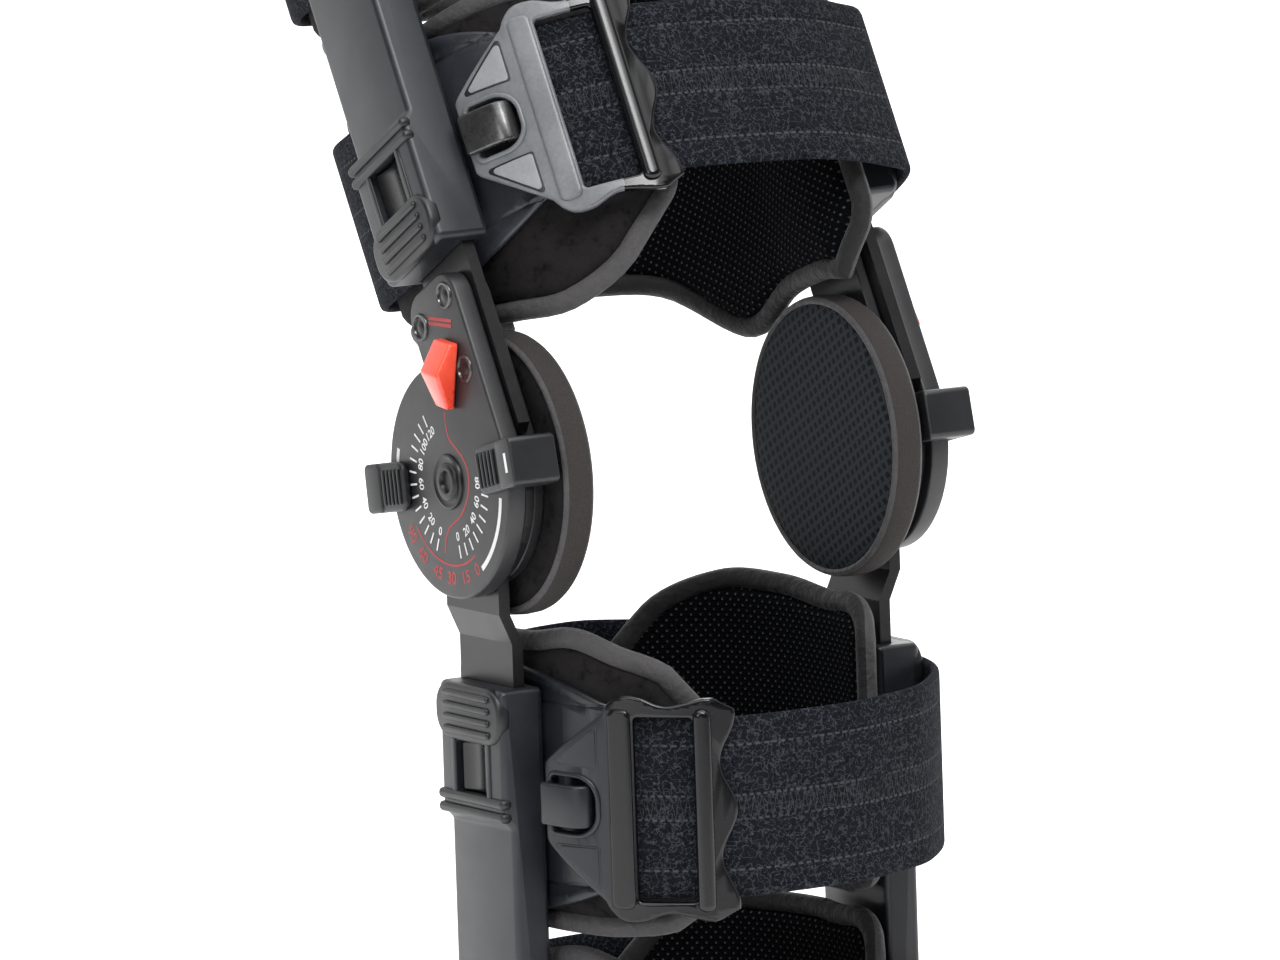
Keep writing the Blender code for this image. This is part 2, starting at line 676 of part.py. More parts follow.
def hook_solid(section, level):
    values = section_sizes(section)
    route, length = strap_route(section)
    low = -values["strap_offset"] - CUFF_WALL * 0.2
    over = STRAP_WALL / 2 + GAP + BUCKLE_THICK + 0.8 * MM
    stem, tip = -HOOK_STEM, -FLANGE_REACH + 1 * MM
    profile = rounded([
        (stem - HOOK_WALL, low, 0), (stem, low, 0), (stem, over + HOOK_WALL, 2 * MM),
        (tip, over + HOOK_WALL, 0.6 * MM), (tip, over, 0.6 * MM), (stem - HOOK_WALL, over, 0),
    ], 3)
    made = plate([profile], -HOOK_HEIGHT / 2, HOOK_HEIGHT / 2)
    laid(made, ACROSS)
    return wrapped(made, route, length, buckle_place(section), level, values["tilt"])


def build_cuff(section, label, level, name, side):
    """A wing that starts behind the sleeve; the lateral one reaches the buckle and carries its hook."""
    values = section_sizes(section)
    wall = shell_route(section, name)
    rear = values["sleeve_centre"] - SLEEVE_WIDTH * 0.65
    last = int(len(wall) * CUFF_FRONT_SHARE)
    if side < 0:
        route = [p for p in wall[:last] if p[1] > rear]
    else:
        route = [p for p in wall if rear < p[1] < values["sleeve_front"] - 2 * MM]
    half = CUFF_HEIGHT / 2

    def reach(s):
        """Rounded towards both ends on the medial side, and towards the front on the lateral one."""
        bend = 0.86 * (2 * s - 1) if side > 0 else 0.9 * max(s - 0.2, 0) / 0.8
        return half * math.sqrt(1 - bend * bend)

    made = band(route, lambda s: -reach(s), reach, 1, level_all_round, level)
    cuff = add_wall(f"{label}_cuff_{name}", made, section, side, SATIN, CUFF_WALL)
    if side < 0:
        fuse(cuff, hook_solid(section, level), section, 1)


def build_pad(section, label, level, name, side):
    values = section_sizes(section)
    inward = CUFF_WALL / 2 + GAP + PAD_WALL / 2
    route = offset_route(shell_route(section, name), -inward)
    route[0] = (GAP + abs(route[0][0]) * 0.4, *route[0][1:])
    last = len(route) - 1
    most = FAR_PAD_KNEE if label.startswith("far") else 1.0
    knee = [min(p[2], most) * PAD_HEIGHT for p in route]
    far = [p[3] * PAD_HEIGHT for p in route]
    low, high = (knee, far) if values["way"] > 0 else (far, knee)
    made = band(route, lambda s: -low[round(s * last)], lambda s: high[round(s * last)], 1, level_all_round, level)
    add_wall(f"{label}_pad_{name}", made, section, side, PAD_CLOTH, PAD_WALL)


def build_section(section):
    values = section_sizes(section)
    for name, side in SIDES.items():
        build_sleeve(name, side, section)
    for label, step in (("near_" + section, 0), ("far_" + section, 1)):
        level = values["way"] * (values["strap_level"] + step * LEVEL_STEP)
        build_strap(section, label, level)
        build_buckle(section, label, level)
        for name, side in SIDES.items():
            build_cuff(section, label, level, name, side)
            build_pad(section, label, level, name, side)


clear_scene()
PARTS = new_collection("knee_brace")
CUTTERS = new_collection("cutters", hidden=True)
PLATE = new_material("printed_plate", (0.05, 0.05, 0.055), 0.4)
PLASTIC = new_material("black_plastic", (0.02, 0.02, 0.022), 0.42)
SATIN = new_material("satin_plastic", (0.045, 0.047, 0.052), 0.38)
GLOSS = new_material("gloss_plastic", (0.025, 0.025, 0.028), 0.2)
METAL = new_material("black_metal", (0.03, 0.03, 0.032), 0.35, 0.6)
RED = new_material("red_plastic", (0.75, 0.06, 0.03), 0.3)
FELT = new_material("felt", (0.016, 0.018, 0.028), 0.9)
PAD_CLOTH = new_material("pad_cloth", (0.014, 0.014, 0.016), 0.85)
EMPTIES = {}
for key, size in SECTIONS.items():
    EMPTIES[key] = bpy.data.objects.new(key + "_frame", None)
    EMPTIES[key].rotation_euler = (-size["lean"], 0, 0)
    PARTS.objects.link(EMPTIES[key])
for side_name, side_sign in SIDES.items():
    build_hinge(side_name, side_sign)
    build_upper_bar(side_name, side_sign)
    build_lower_arm(side_name, side_sign)
    build_lock(side_name, side_sign)
    build_stop(side_name, side_sign, "extension", EXTENSION_STOP_ANGLE, STOP_DEPTH)
    build_stop(side_name, side_sign, "flexion", FLEXION_STOP_ANGLE, FLEXION_STOP_DEPTH)
for key in SECTIONS:
    build_section(key)
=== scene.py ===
"""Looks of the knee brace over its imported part: printed dials, moulded sleeves, felt straps, bound pads.

Metres, in the part's own frame. Shapes are first made flat or in a section's terms: f forwards, t up along
the bars, u outwards from the middle. Round the leg a flat piece has w along its line, t up and n outwards.
"""

import math

import bmesh
import bpy
from mathutils import Matrix, Vector


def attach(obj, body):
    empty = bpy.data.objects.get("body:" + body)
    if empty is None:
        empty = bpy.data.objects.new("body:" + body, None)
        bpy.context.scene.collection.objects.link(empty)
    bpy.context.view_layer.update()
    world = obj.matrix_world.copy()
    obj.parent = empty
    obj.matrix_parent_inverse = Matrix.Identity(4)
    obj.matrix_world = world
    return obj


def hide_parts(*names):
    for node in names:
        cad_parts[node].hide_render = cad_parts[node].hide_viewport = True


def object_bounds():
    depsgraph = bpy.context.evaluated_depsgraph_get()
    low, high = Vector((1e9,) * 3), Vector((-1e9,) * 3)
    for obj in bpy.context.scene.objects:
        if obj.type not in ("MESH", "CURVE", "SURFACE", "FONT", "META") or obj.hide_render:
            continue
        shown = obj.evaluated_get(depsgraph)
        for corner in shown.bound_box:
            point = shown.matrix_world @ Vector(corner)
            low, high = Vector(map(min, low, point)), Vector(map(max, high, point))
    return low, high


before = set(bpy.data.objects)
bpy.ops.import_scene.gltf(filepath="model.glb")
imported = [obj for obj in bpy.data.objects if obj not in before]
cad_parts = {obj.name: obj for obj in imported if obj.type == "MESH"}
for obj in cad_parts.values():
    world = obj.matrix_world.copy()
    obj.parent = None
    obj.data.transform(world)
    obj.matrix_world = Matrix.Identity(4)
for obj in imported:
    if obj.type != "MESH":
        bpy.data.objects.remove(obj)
bpy.context.scene.view_settings.view_transform = "Standard"
cad_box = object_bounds()

MM = 0.001
GAP = 0.3 * MM
SIDES = {"lateral": -1, "medial": 1}
LEAN = {"thigh": 35.5, "calf": 5.5}
WAY = {"thigh": 1, "calf": -1}

# Hinge
FACE_INNER = 66 * MM
FACE_OUTER = 72 * MM
DISC_RADIUS = 33 * MM
NECK_WIDTH = 28 * MM
NECK_TOP = 52 * MM
NECK_CORNER = 8 * MM
REAR_INNER = 58.8 * MM
PRINT_LEVEL = FACE_OUTER + 0.04 * MM
TICK_RADIUS = 19.9 * MM
NUMBER_RADIUS = 15.7 * MM
# Turned profiles in millimetres: radius, and height above the dial's face
CAP = [(0, -1.6), (1.6, -1.6), (2.6, -0.9), (3.0, 0.9), (3.3, 1.3), (4.6, 1.4), (5.1, 1.1), (5.4, 0.5), (6.6, 0.45),
       (7.2, 0.8), (7.7, 0.7), (7.9, 0.2), (7.9, 0), (4, -0.3), (4, -13.2), (0, -13.2)]
RIVET = [(0, 0.5), (1.4, 0.35), (2.3, -0.2), (2.8, -0.3), (3.1, 0.5), (3.6, 0.6), (3.9, 0.3), (4.0, -0.1),
         (3.8, -0.8), (0, -0.8)]
RIVET_RIM = 2.85 * MM
# The dial's red line from the switch round the pivot, in millimetres forwards and up
POINTER = [(-2.65, 19.36), (-2.65, 17.36), (-0.46, 12.32), (6.91, 8.55), (10.54, 4.36), (10.54, -1.94),
           (6.91, -8.36), (0.98, -12.91), (-1.21, -17.34), (-1.21, -20.78)]
# The lock switch in millimetres: outwards, up from its middle, and the corner's radius
WEDGE = [(0, -9.5, 0.4), (2.6, -9.5, 0.8), (7.2, 0.6, 1.6), (2.8, 9.5, 1.0), (0, 9.5, 0.4)]
WEDGE_MIDDLE = 30.8 * MM
WEDGE_REACH = 9.5 * MM

# Sleeves: outwards, the bar, the long face and the block near the knee; along t, from the knee
SLEEVE = {
    "thigh": {"centre": 21.5 * MM, "bar_centre": 21 * MM, "bar_width": 27 * MM, "bar": 62.2 * MM,
              "inner": 58.7 * MM, "face": 72.5 * MM, "block": 75.3 * MM},
    "calf": {"centre": 1.5 * MM, "bar_centre": 0.0, "bar_width": 29 * MM, "bar": 58.4 * MM,
             "inner": 54.9 * MM, "face": 65.9 * MM, "block": 68.7 * MM},
}
BAR_THICK = 3.5 * MM
SLEEVE_WIDTH = 34.5 * MM
SLEEVE_START = 57.7 * MM
SLEEVE_END = 214 * MM
BLOCK_LENGTH = 36.5 * MM
WINDOW_MIDDLE = 81.3 * MM
THUMB_MIDDLE = 65.6
# Relief on a sleeve's block in millimetres: f and t, half sizes, corner, bottom and top from the face, edge
RELIEF = [(0, 89.8, 17.9, 1.5, 1.4, -2.5, 1.1, 1.2), (0, 93.6, 17.9, 1.5, 1.4, -2.5, 1.1, 1.2),
          (0, THUMB_MIDDLE, 17.6, 8, 7, -3, 1.2, 1.2),
          *[(0, THUMB_MIDDLE + rib, 12.5, 1, 0.95, 0.6, 2.1, 0.7) for rib in (-5.1, -1.7, 1.7, 5.1)],
          *[(edge, 81.3, 1.1, 8.3, 0.8, -1.5, 0.5, 0.5) for edge in (-9.4, 9.4)]]

# Soft walls, cuffs and straps
HALF_DEPTH = {"thigh": 64 * MM, "calf": 59 * MM}
TILT = {"thigh": 0.05, "calf": 0.045}
BACK_RISE = {"thigh": 12.8 * MM, "calf": 5 * MM}
BUCKLE_TURN = {"thigh": 25.7, "calf": 34.3}
STRAP_LEVEL = 87.5 * MM
LEVEL_STEP = 89.96 * MM
CUFF_WALL = 2.2 * MM
PAD_WALL = 7.4 * MM
STRAP_WALL = 2.6 * MM
STRAP_WIDTH = 51 * MM
STRAP_END = 13 * MM
PAD_HEIGHT = 84 * MM
CUFF_HEIGHT = 70 * MM
CUFF_FRONT_SHARE = 0.86
STRAP_OFFSET = CUFF_WALL / 2 + GAP + STRAP_WALL / 2 + GAP
BUCKLE_BASE = STRAP_WALL / 2 + GAP
BUCKLE_THICK = 3 * MM

# Stations of the wall round the leg, as shares of its half width and half depth
BACK_STATIONS = [(0.03, -1.00), (0.42, -0.93), (0.78, -0.70), (0.96, -0.32), (1.00, 0.08), (0.97, 0.42)]
FRONT_STATIONS = {
    "thigh_lateral": [(0.82, 0.72), (0.52, 0.94), (0.16, 1.04)],
    "thigh_medial": [(0.99, 0.62), (1.06, 0.80)],
    "calf_lateral": [(0.84, 0.68), (0.58, 0.90), (0.26, 1.02)],
    "calf_medial": [(0.90, 0.56)],
}
# A pad's reach towards the knee at each station, and away from the knee at the last, as shares of its height
PAD_KNEE = {
    "thigh_lateral": [0.26, 0.27, 0.34, 0.49, 0.54, 0.62, 0.68, 0.60, 0.36],
    "thigh_medial": [0.16, 0.18, 0.28, 0.56, 0.54, 0.595, 0.65, 0.50],
    "calf_lateral": [0.26, 0.27, 0.34, 0.49, 0.52, 0.55, 0.50, 0.41, 0.16],
    "calf_medial": [0.22, 0.47, 0.57, 0.57, 0.54, 0.565, 0.54],
}
PAD_FAR = 0.48
PAD_FAR_ENDS = {
    "thigh_lateral": [0.45, 0.30], "thigh_medial": [0.42], "calf_lateral": [0.45, 0.30], "calf_medial": [0.42],
}
FAR_PAD_KNEE = 0.55
STRAP_FRONT = {
    "thigh": [(0.82, 0.84), (0.52, 1.00), (0.22, 1.06)],
    "calf": [(0.74, 0.80), (0.46, 0.98), (0.20, 1.06)],
}
# Rings of a soft piece from its edge inwards: inset and height in millimetres, and which finish
CONDYLE_RINGS = [(0.12, 1.6, 0), (0.12, 3.0, 0), (0.25, 3.7, 0), (0.2, 3.9, 1), (0.35, 4.5, 1), (0.5, 4.75, 1),
                 (0.5, 4.6, 1), (0.35, 4.1, 1), (0.6, 4.2, 2), (1.6, 4.7, 2), (3, 4.95, 2), (6, 5.1, 2)]
PAD_RINGS = [(0.4, 1.5, 0), (0.6, 2.2, 0), (1.0, 2.7, 0), (1.3, 2.85, 0), (1.2, 2.6, 0), (0.8, 2.0, 0), (0.4, 1.5, 0),
             (0.6, 2.3, 1), (1.0, 3.1, 1), (1.4, 3.7, 1)]
CUFF_RINGS = [(0.25, 0.7, 0), (0.35, 1.0, 0), (0.4, 1.1, 0), (2.0, 1.1, 0), (0.4, 0.75, 0), (3, 0.75, 0)]
STRAP_RINGS = [(0.3, 0.75, 0), (0.5, 1.1, 0), (0.9, 1.3, 0), (2, 1.3, 0)]

# The buckle's end above and below its frame, and its flange's tip, in millimetres
LOBES = [(15.4, 30.2), (13.6, 31.3), (10.5, 31.3), (6, 30.2), (1.5, 29.3), (-2, 29.9), (-6.6, 31.8), (-11.6, 31.8),
         (-14.8, 29.5), (-16.8, 26.3)]
FLANGE_TIP = [(-33.8, 12.2), (-34.9, 10.8), (-35, 9.6)]
# On the thigh the flange, its window's lip, the raised panels and the left bar take pale copies of the dark plastic
# as painted light and sheen; on the calf they stay dark
BUCKLE_FINISH = {
    "thigh": ["gloss_plastic", "panel_painted_light", "black_plastic", "buckle_painted_light", "buckle_painted_light"],
    "calf": ["gloss_plastic", "wing_plastic", "black_plastic", "wing_plastic", "gloss_plastic"],
}
# On the thigh the buckle's faces short of this take the pale flange finish, which is painted light
PALE_TO = {"thigh": 2 * MM, "calf": -15 * MM}

# Stage: each lamp's name, place, size and power; the camera's turn, rise and roll in degrees
LAMPS = [("top", (-0.1, -0.3, 2.6), 3.2, 85), ("gloss", (-0.38, -1.32, 2.2), 0.8, 36),
         ("key", (-1.9, -1.1, 1.0), 1.0, 14), ("fill", (1.5, -1.8, 0.5), 0.8, 2.5), ("rim", (1.2, 1.5, 0.8), 0.8, 8)]
FLOOR_RADIUS = 2.7
CAMERA_TURNS = (-31.0, 12.53, -0.94)
CAMERA_AWAY = 5.377
CAMERA_AIM = (-0.0084, -0.0067)
FOCAL_PIXELS = 19125

# The four levels of cuffs: their section, and how many steps out from the knee
LABELS = {"near_thigh": ("thigh", 0), "far_thigh": ("thigh", 1), "near_calf": ("calf", 0), "far_calf": ("calf", 1)}


# Finishes

class Signal:
    """A socket in a node tree. Sums and products on it add Math nodes."""

    def __init__(self, nodes, socket):
        self.nodes = nodes
        self.socket = socket

    def math(self, operation, *values):
        return self.nodes.node("ShaderNodeMath", {"operation": operation}, dict(enumerate(values)))

    def __add__(self, other):
        return self.math("ADD", self, other)

    def __sub__(self, other):
        return self.math("SUBTRACT", self, other)

    def __rsub__(self, other):
        return self.math("SUBTRACT", other, self)

    def __mul__(self, other):
        return self.math("MULTIPLY", self, other)

    def __truediv__(self, other):
        return self.math("DIVIDE", self, other)

    __radd__ = __add__
    __rmul__ = __mul__

    def fraction(self):
        return self.math("FRACT", self)

    def whole(self):
        return self.math("FLOOR", self)

    def distance(self, middle):
        return self.math("ABSOLUTE", self - middle)

    def below(self, limit, soft):
        """One where the value is under a limit, falling to nothing over a soft edge."""
        return self.nodes.node("ShaderNodeMapRange", {"interpolation_type": "SMOOTHSTEP"},
                                {"Value": self, "From Min": limit + soft, "From Max": limit - soft})


class Nodes:
    """A node tree that new nodes are added to."""

    def __init__(self, tree):
        self.tree = tree

    def node(self, kind, settings=(), links=(), out=0):
        made = self.tree.nodes.new(kind)
        for key, value in dict(settings).items():
            setattr(made, key, value)
        for key, value in dict(links).items():
            if isinstance(value, Signal):
                self.tree.links.new(value.socket, made.inputs[key])
            elif value is not None:
                made.inputs[key].default_value = value
        return Signal(self, made.outputs[out])


class Finish(Nodes):
    """A material made of one Principled shader and what feeds it."""

    def __init__(self, name, colour, roughness, **settings):
        self.material = bpy.data.materials.new(name)
        self.material.use_nodes = True
        super().__init__(self.material.node_tree)
        self.shader = self.tree.nodes["Principled BSDF"]
        self.shader.inputs["Base Color"].default_value = (*colour, 1)
        self.shader.inputs["Roughness"].default_value = roughness
        for socket, value in settings.items():
            self.shader.inputs[socket.replace("_", " ")].default_value = value

    def place(self):
        """Where a point is on the object."""
        return self.node("ShaderNodeTexCoord", out="Object")

    def cloth(self):
        """How far along a cloth and how far up it, in millimetres."""
        spread = self.node("ShaderNodeUVMap", {"uv_map": "cloth"})
        split = self.node("ShaderNodeSeparateXYZ", links={0: spread})
        across = Signal(self, split.socket.node.outputs[1])
        return split * 1000, across * 1000, spread

    def noise(self, where, scale, detail=3, roughness=0.6):
        return self.node("ShaderNodeTexNoise", links={"Vector": where, "Scale": scale, "Detail": detail,
                                                      "Roughness": roughness})

    def mix(self, share, first, second):
        """Two colours, each plain or a signal, mixed by a share."""
        def four(colour):
            return colour if isinstance(colour, Signal) else (*colour, 1)
        return self.node("ShaderNodeMix", {"data_type": "RGBA"}, {0: share, 6: four(first), 7: four(second)}, 2)

    def colour(self, signal):
        self.tree.links.new(signal.socket, self.shader.inputs["Base Color"])

    def rough(self, signal):
        self.tree.links.new(signal.socket, self.shader.inputs["Roughness"])

    def bump(self, height, strength, depth):
        """Relief, in metres, laid over any that is there."""
        under = self.shader.inputs["Normal"].links
        below = Signal(self, under[0].from_socket) if under else None
        made = self.node("ShaderNodeBump", links={"Height": height, "Strength": strength, "Distance": depth,
                                                  "Normal": below})
        self.tree.links.new(made.socket, self.shader.inputs["Normal"])


def moulded(name, colour, worn, roughness, spread, grain, settings=()):
    """Moulded plastic or painted metal: fine grain, a paler bloom, and handling marks in its gloss."""
    made = Finish(name, colour, roughness, **dict(settings))
    where = made.place()
    bloom = made.noise(where, 55, 4)
    speck = made.noise(where, 900, 2)
    made.colour(made.mix((bloom * 0.7 + speck * 0.3).below(0.5, 0.2), worn, colour))
    made.rough(made.noise(where, 90, 5) * spread + (roughness - spread / 2) + speck * 0.05)
    made.bump(made.noise(where, 2600, 2), 0.35, grain)
    return made.material


def felt_finish(name):
    """Loop felt: short tangled fibres, pale flecks of lint, and lines of stitching along the strap."""
    made = Finish(name, (0.01, 0.012, 0.02), 0.95, Specular_IOR_Level=0.1)
    along, up, spread = made.cloth()
    pile = made.noise(spread, 900, 4, 0.7)
    clump = made.noise(spread, 240, 3, 0.65)
    fleck = made.noise(spread, 1500, 1, 0.4).math("GREATER_THAN", made.noise(spread, 1500, 1, 0.4), 0.68)
    base = made.mix(clump, (0.002, 0.0024, 0.0042), (0.0105, 0.0122, 0.0165))
    base = made.mix(pile.below(0.42, 0.1), base, (0.001, 0.0012, 0.0022))
    worm = made.noise(spread, 420, 2, 0.5).distance(0.5).below(0.02, 0.02)
    base = made.mix(worm * 0.55, base, (0.055, 0.06, 0.07))
    base = made.mix(fleck * 0.35, base, (0.1, 0.11, 0.13))
    thread = None
    for middle, period in ((3.4, 2.1), (-3.4, 2.1), (17.6, 2.6), (-17.6, 2.6)):
        line = up.distance(middle).below(0.32, 0.15)
        dash = (along / period + middle).fraction().distance(0.5).below(0.3, 0.08)
        thread = line * dash if thread is None else thread.math("MAXIMUM", thread, line * dash)
    zigzag = (along / 2.3).fraction().distance(0.5) * 2 - up / 6.8 - 0.5
    cross = zigzag.distance(0).below(0.09, 0.05) * up.distance(0).below(3.2, 0.2)
    thread = thread.math("MAXIMUM", thread, cross * 0.7)
    worn = made.noise(spread, 70, 2).below(0.62, 0.12)
    made.colour(made.mix(thread * worn * 0.6, base, (0.075, 0.08, 0.09)))
    furrow = up.distance(0).distance(3.4).below(1.3, 1.1) + up.distance(0).distance(17.6).below(1.2, 1.0)
    made.bump(clump * 0.6 + pile * 0.5 - furrow * 0.9 + thread * 0.5, 0.9, 0.0006)
    return made.material


def mesh_finish(name):
    """Spacer mesh: a black knit with rows of small open cells, each with a paler thread across it."""
    made = Finish(name, (0.002, 0.002, 0.0025), 0.9, Specular_IOR_Level=0.04)
    along, up, spread = made.cloth()
    row = up / 1.5
    column = along / 3.0 + row.whole() * 0.5
    cell = column.fraction().distance(0.5)
    rise = row.fraction().distance(0.5)
    dot = cell.below(0.1, 0.05) * rise.below(0.18, 0.1) * made.noise(spread, 260, 2)
    knit = made.noise(spread, 1800, 2)
    made.colour(made.mix(dot, made.mix(knit, (0.0006, 0.0008, 0.0014), (0.003, 0.0034, 0.0045)), (0.09, 0.09, 0.09)))
    made.bump(cell.below(0.3, 0.2) * rise.below(0.36, 0.14) + knit * 0.3, 0.8, 0.0005)
    return made.material


def check_finish(name):
    """Condyle pad cloth: a fine dark check of small squares with stepped threads between them."""
    made = Finish(name, (0.012, 0.014, 0.017), 0.85, Specular_IOR_Level=0.15)
    along, up, spread = made.cloth()
    column = (along / 2.8).fraction()
    row = (up / 2.8).fraction()
    block = column.distance(0.5).below(0.3, 0.05) * row.distance(0.5).below(0.3, 0.05)
    ladder = ((along + up * 0.5) / 0.8).fraction().distance(0.5).below(0.22, 0.1)
    thread = made.noise(spread, 1600, 2)
    pale = made.mix(ladder * 0.6 + thread * 0.3, (0.012, 0.014, 0.016), (0.034, 0.042, 0.05))
    made.colour(made.mix(block, pale, (0.004, 0.0045, 0.0055)))
    made.bump(ladder * 0.5 + thread * 0.4 - block * 0.7, 0.8, 0.0004)
    return made.material


def side_finish(name):
    """The plain brown-grey cloth round a condyle pad's edge."""
    made = Finish(name, (0.03, 0.027, 0.026), 0.85, Sheen_Weight=0.05, Specular_IOR_Level=0.2)
    where = made.place()
    weave = made.noise(where, 1500, 3, 0.7)
    made.colour(made.mix(weave, (0.014, 0.0125, 0.012), (0.046, 0.041, 0.039)))
    made.bump(weave, 0.6, 0.0003)
    return made.material


def binding_finish(name, light, dark):
    """Woven edge binding: close ribs across its run."""
    made = Finish(name, light, 0.7, Sheen_Weight=0.1, Specular_IOR_Level=0.3)
    where = made.place()
    grain = made.noise(where, 1300, 3, 0.7)
    patch = made.noise(where, 150, 3)
    pucker = made.noise(where, 330, 3, 0.55)
    made.colour(made.mix(grain * 0.45 + patch * 0.3 + pucker * 0.25, dark, light))
    made.bump(pucker, 0.7, 0.0012)
    made.bump(grain, 0.4, 0.0003)
    return made.material


def lining_finish(name):
    """The pads' outer cloth: a soft brushed brown-black knit with tufts."""
    made = Finish(name, (0.01, 0.01, 0.011), 0.9, Specular_IOR_Level=0.12)
    *_, spread = made.cloth()
    nap = made.noise(spread, 620, 4, 0.75)
    tuft = made.noise(spread, 190, 3, 0.7)
    base = made.mix(nap * 0.5 + tuft * 0.5, (0.002, 0.0019, 0.002), (0.02, 0.018, 0.0185))
    made.colour(made.mix(tuft.below(0.38, 0.1), base, (0.0015, 0.0015, 0.002)))
    made.bump(nap * 0.6 + tuft * 0.6, 0.8, 0.0006)
    return made.material


# Plastic, metal and print: colour, worn colour, roughness and its spread, depth of the grain, other settings
MOULDED = {
    "printed_plate": ((0.011, 0.011, 0.0125), (0.02, 0.02, 0.022), 0.42, 0.16, 0.00006),
    "black_plastic": ((0.0045, 0.005, 0.0065), (0.01, 0.0105, 0.012), 0.4, 0.2, 0.00006),
    "satin_plastic": ((0.007, 0.008, 0.011), (0.014, 0.0155, 0.02), 0.38, 0.16, 0.00005),
    "wing_plastic": ((0.005, 0.006, 0.009), (0.011, 0.0125, 0.016), 0.36, 0.16, 0.00005),
    # wing_painted_light is a paler copy of wing_plastic for the thigh's wings: painted light and sheen, the same
    # plastic as the calf's wings
    "wing_painted_light": ((0.016, 0.018, 0.023), (0.032, 0.0355, 0.043), 0.34, 0.14, 0.00005),
    "gloss_plastic": ((0.002, 0.0022, 0.003), (0.0035, 0.0038, 0.0048), 0.2, 0.05, 0.00001,
                      {"Specular_IOR_Level": 0.42}),
    # buckle_painted_light and panel_painted_light are pale copies of the buckle's dark plastic for the thigh: painted
    # light and sheen, the same plastic as the calf's buckle
    "buckle_painted_light": ((0.1, 0.105, 0.113), (0.16, 0.167, 0.177), 0.3, 0.12, 0.00004),
    "panel_painted_light": ((0.19, 0.198, 0.21), (0.25, 0.26, 0.272), 0.34, 0.12, 0.00004),
    "black_metal": ((0.005, 0.005, 0.006), (0.014, 0.014, 0.015), 0.32, 0.14, 0.00003, {"Metallic": 0.3}),
    "rivet_metal": ((0.05, 0.05, 0.052), (0.12, 0.12, 0.12), 0.26, 0.14, 0.00002, {"Metallic": 0.8}),
    "red_plastic": ((0.8, 0.055, 0.025), (0.86, 0.09, 0.045), 0.26, 0.08, 0.00003,
                    {"Coat_Weight": 0.4, "Coat_Roughness": 0.12}),
    "white_print": ((0.72, 0.72, 0.72), (0.6, 0.6, 0.6), 0.5, 0.1, 0.00001),
    "red_print": ((0.38, 0.018, 0.018), (0.28, 0.014, 0.014), 0.5, 0.1, 0.00001),
}
FINISH = {key: moulded(f"{key}_finish", *row) for key, row in MOULDED.items()}
for key, make in (("felt", felt_finish), ("pad_mesh", mesh_finish), ("pad_lining", lining_finish),
                  ("pad_check", check_finish), ("pad_side", side_finish)):
    FINISH[key] = make(f"{key}_finish")
# inner_binding is the edge binding made darker for the pads' leg side: painted shade, the same cloth as binding
for key, light, dark in (("binding", (0.088, 0.084, 0.087), (0.014, 0.0134, 0.0142)),
                         ("inner_binding", (0.012, 0.012, 0.013), (0.002, 0.002, 0.0025))):
    FINISH[key] = binding_finish(f"{key}_finish", light, dark)


# Shapes

def mm(*rows):
    """Rows of millimetres in metres."""
    return [tuple(value * MM for value in row) for row in rows]


def placed(name, data):
    """A new object in the scene."""
    thing = bpy.data.objects.new(name, data)
    bpy.context.scene.collection.objects.link(thing)
    return thing


def as_mesh(thing):
    """The mesh that an object comes to with its modifiers or its curve's depth."""
    return bpy.data.meshes.new_from_object(thing.evaluated_get(bpy.context.evaluated_depsgraph_get()))


def shape_of(mesh):
    made = bmesh.new()
    made.from_mesh(mesh)
    bpy.data.meshes.remove(mesh)
    return made


def mesh_of(made, name):
    mesh = bpy.data.meshes.new(name)
    made.to_mesh(mesh)
    made.free()
    return mesh


def merged(made, reach=1e-6):
    bmesh.ops.remove_doubles(made, verts=made.verts, dist=reach)
    return made


def curve_shape(curve):
    """A curve or a text as a shape, with nothing of it left in the scene."""
    guide = placed("outline", curve)
    mesh = as_mesh(guide)
    bpy.data.objects.remove(guide)
    bpy.data.curves.remove(curve)
    return shape_of(mesh)


def whole(made):
    return made.verts[:] + made.edges[:] + made.faces[:]


def shifted(made, place):
    bmesh.ops.translate(made, verts=made.verts, vec=place)
    return made


def spun(made, degrees, axis):
    """Turns a shape about one of the frame's axes."""
    bmesh.ops.rotate(made, verts=made.verts, cent=(0, 0, 0), matrix=Matrix.Rotation(math.radians(degrees), 3, axis))
    return made


def settled(made, side, section, doubles=False):
    """Mirrors a shape to its side of the leg and leans it with its section."""
    bmesh.ops.transform(made, matrix=Matrix.Diagonal((side, 1, 1, 1)), verts=made.verts)
    if section:
        spun(made, -LEAN[section], "X")
    if doubles:
        merged(made, 2e-6)
    bmesh.ops.recalc_face_normals(made, faces=made.faces)
    return made


def finish_piece(name, made, body, slot, finishes=(), replaced=(), side=1, section=None, sharp=38, doubles=True):
    """Hands a shape over as a piece that rides on a body, in its finishes, in place of its nodes."""
    mesh = mesh_of(settled(made, side, section, doubles), name)
    for key in finishes or [slot]:
        mesh.materials.append(FINISH[key])
    mesh.shade_smooth()
    mesh.set_sharp_from_angle(angle=math.radians(sharp))
    piece = placed(name, mesh)
    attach(piece, body)
    if replaced:
        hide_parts(*replaced)
    return piece


def join(pieces):
    """Several shapes as one."""
    joined = bmesh.new()
    for made in pieces:
        mesh = mesh_of(made, "joined")
        joined.from_mesh(mesh)
        bpy.data.meshes.remove(mesh)
    return joined


def arc(radius, start, end, steps):
    turn = [math.radians(start + (end - start) * i / steps) for i in range(steps + 1)]
    return [(radius * math.cos(a), radius * math.sin(a)) for a in turn]


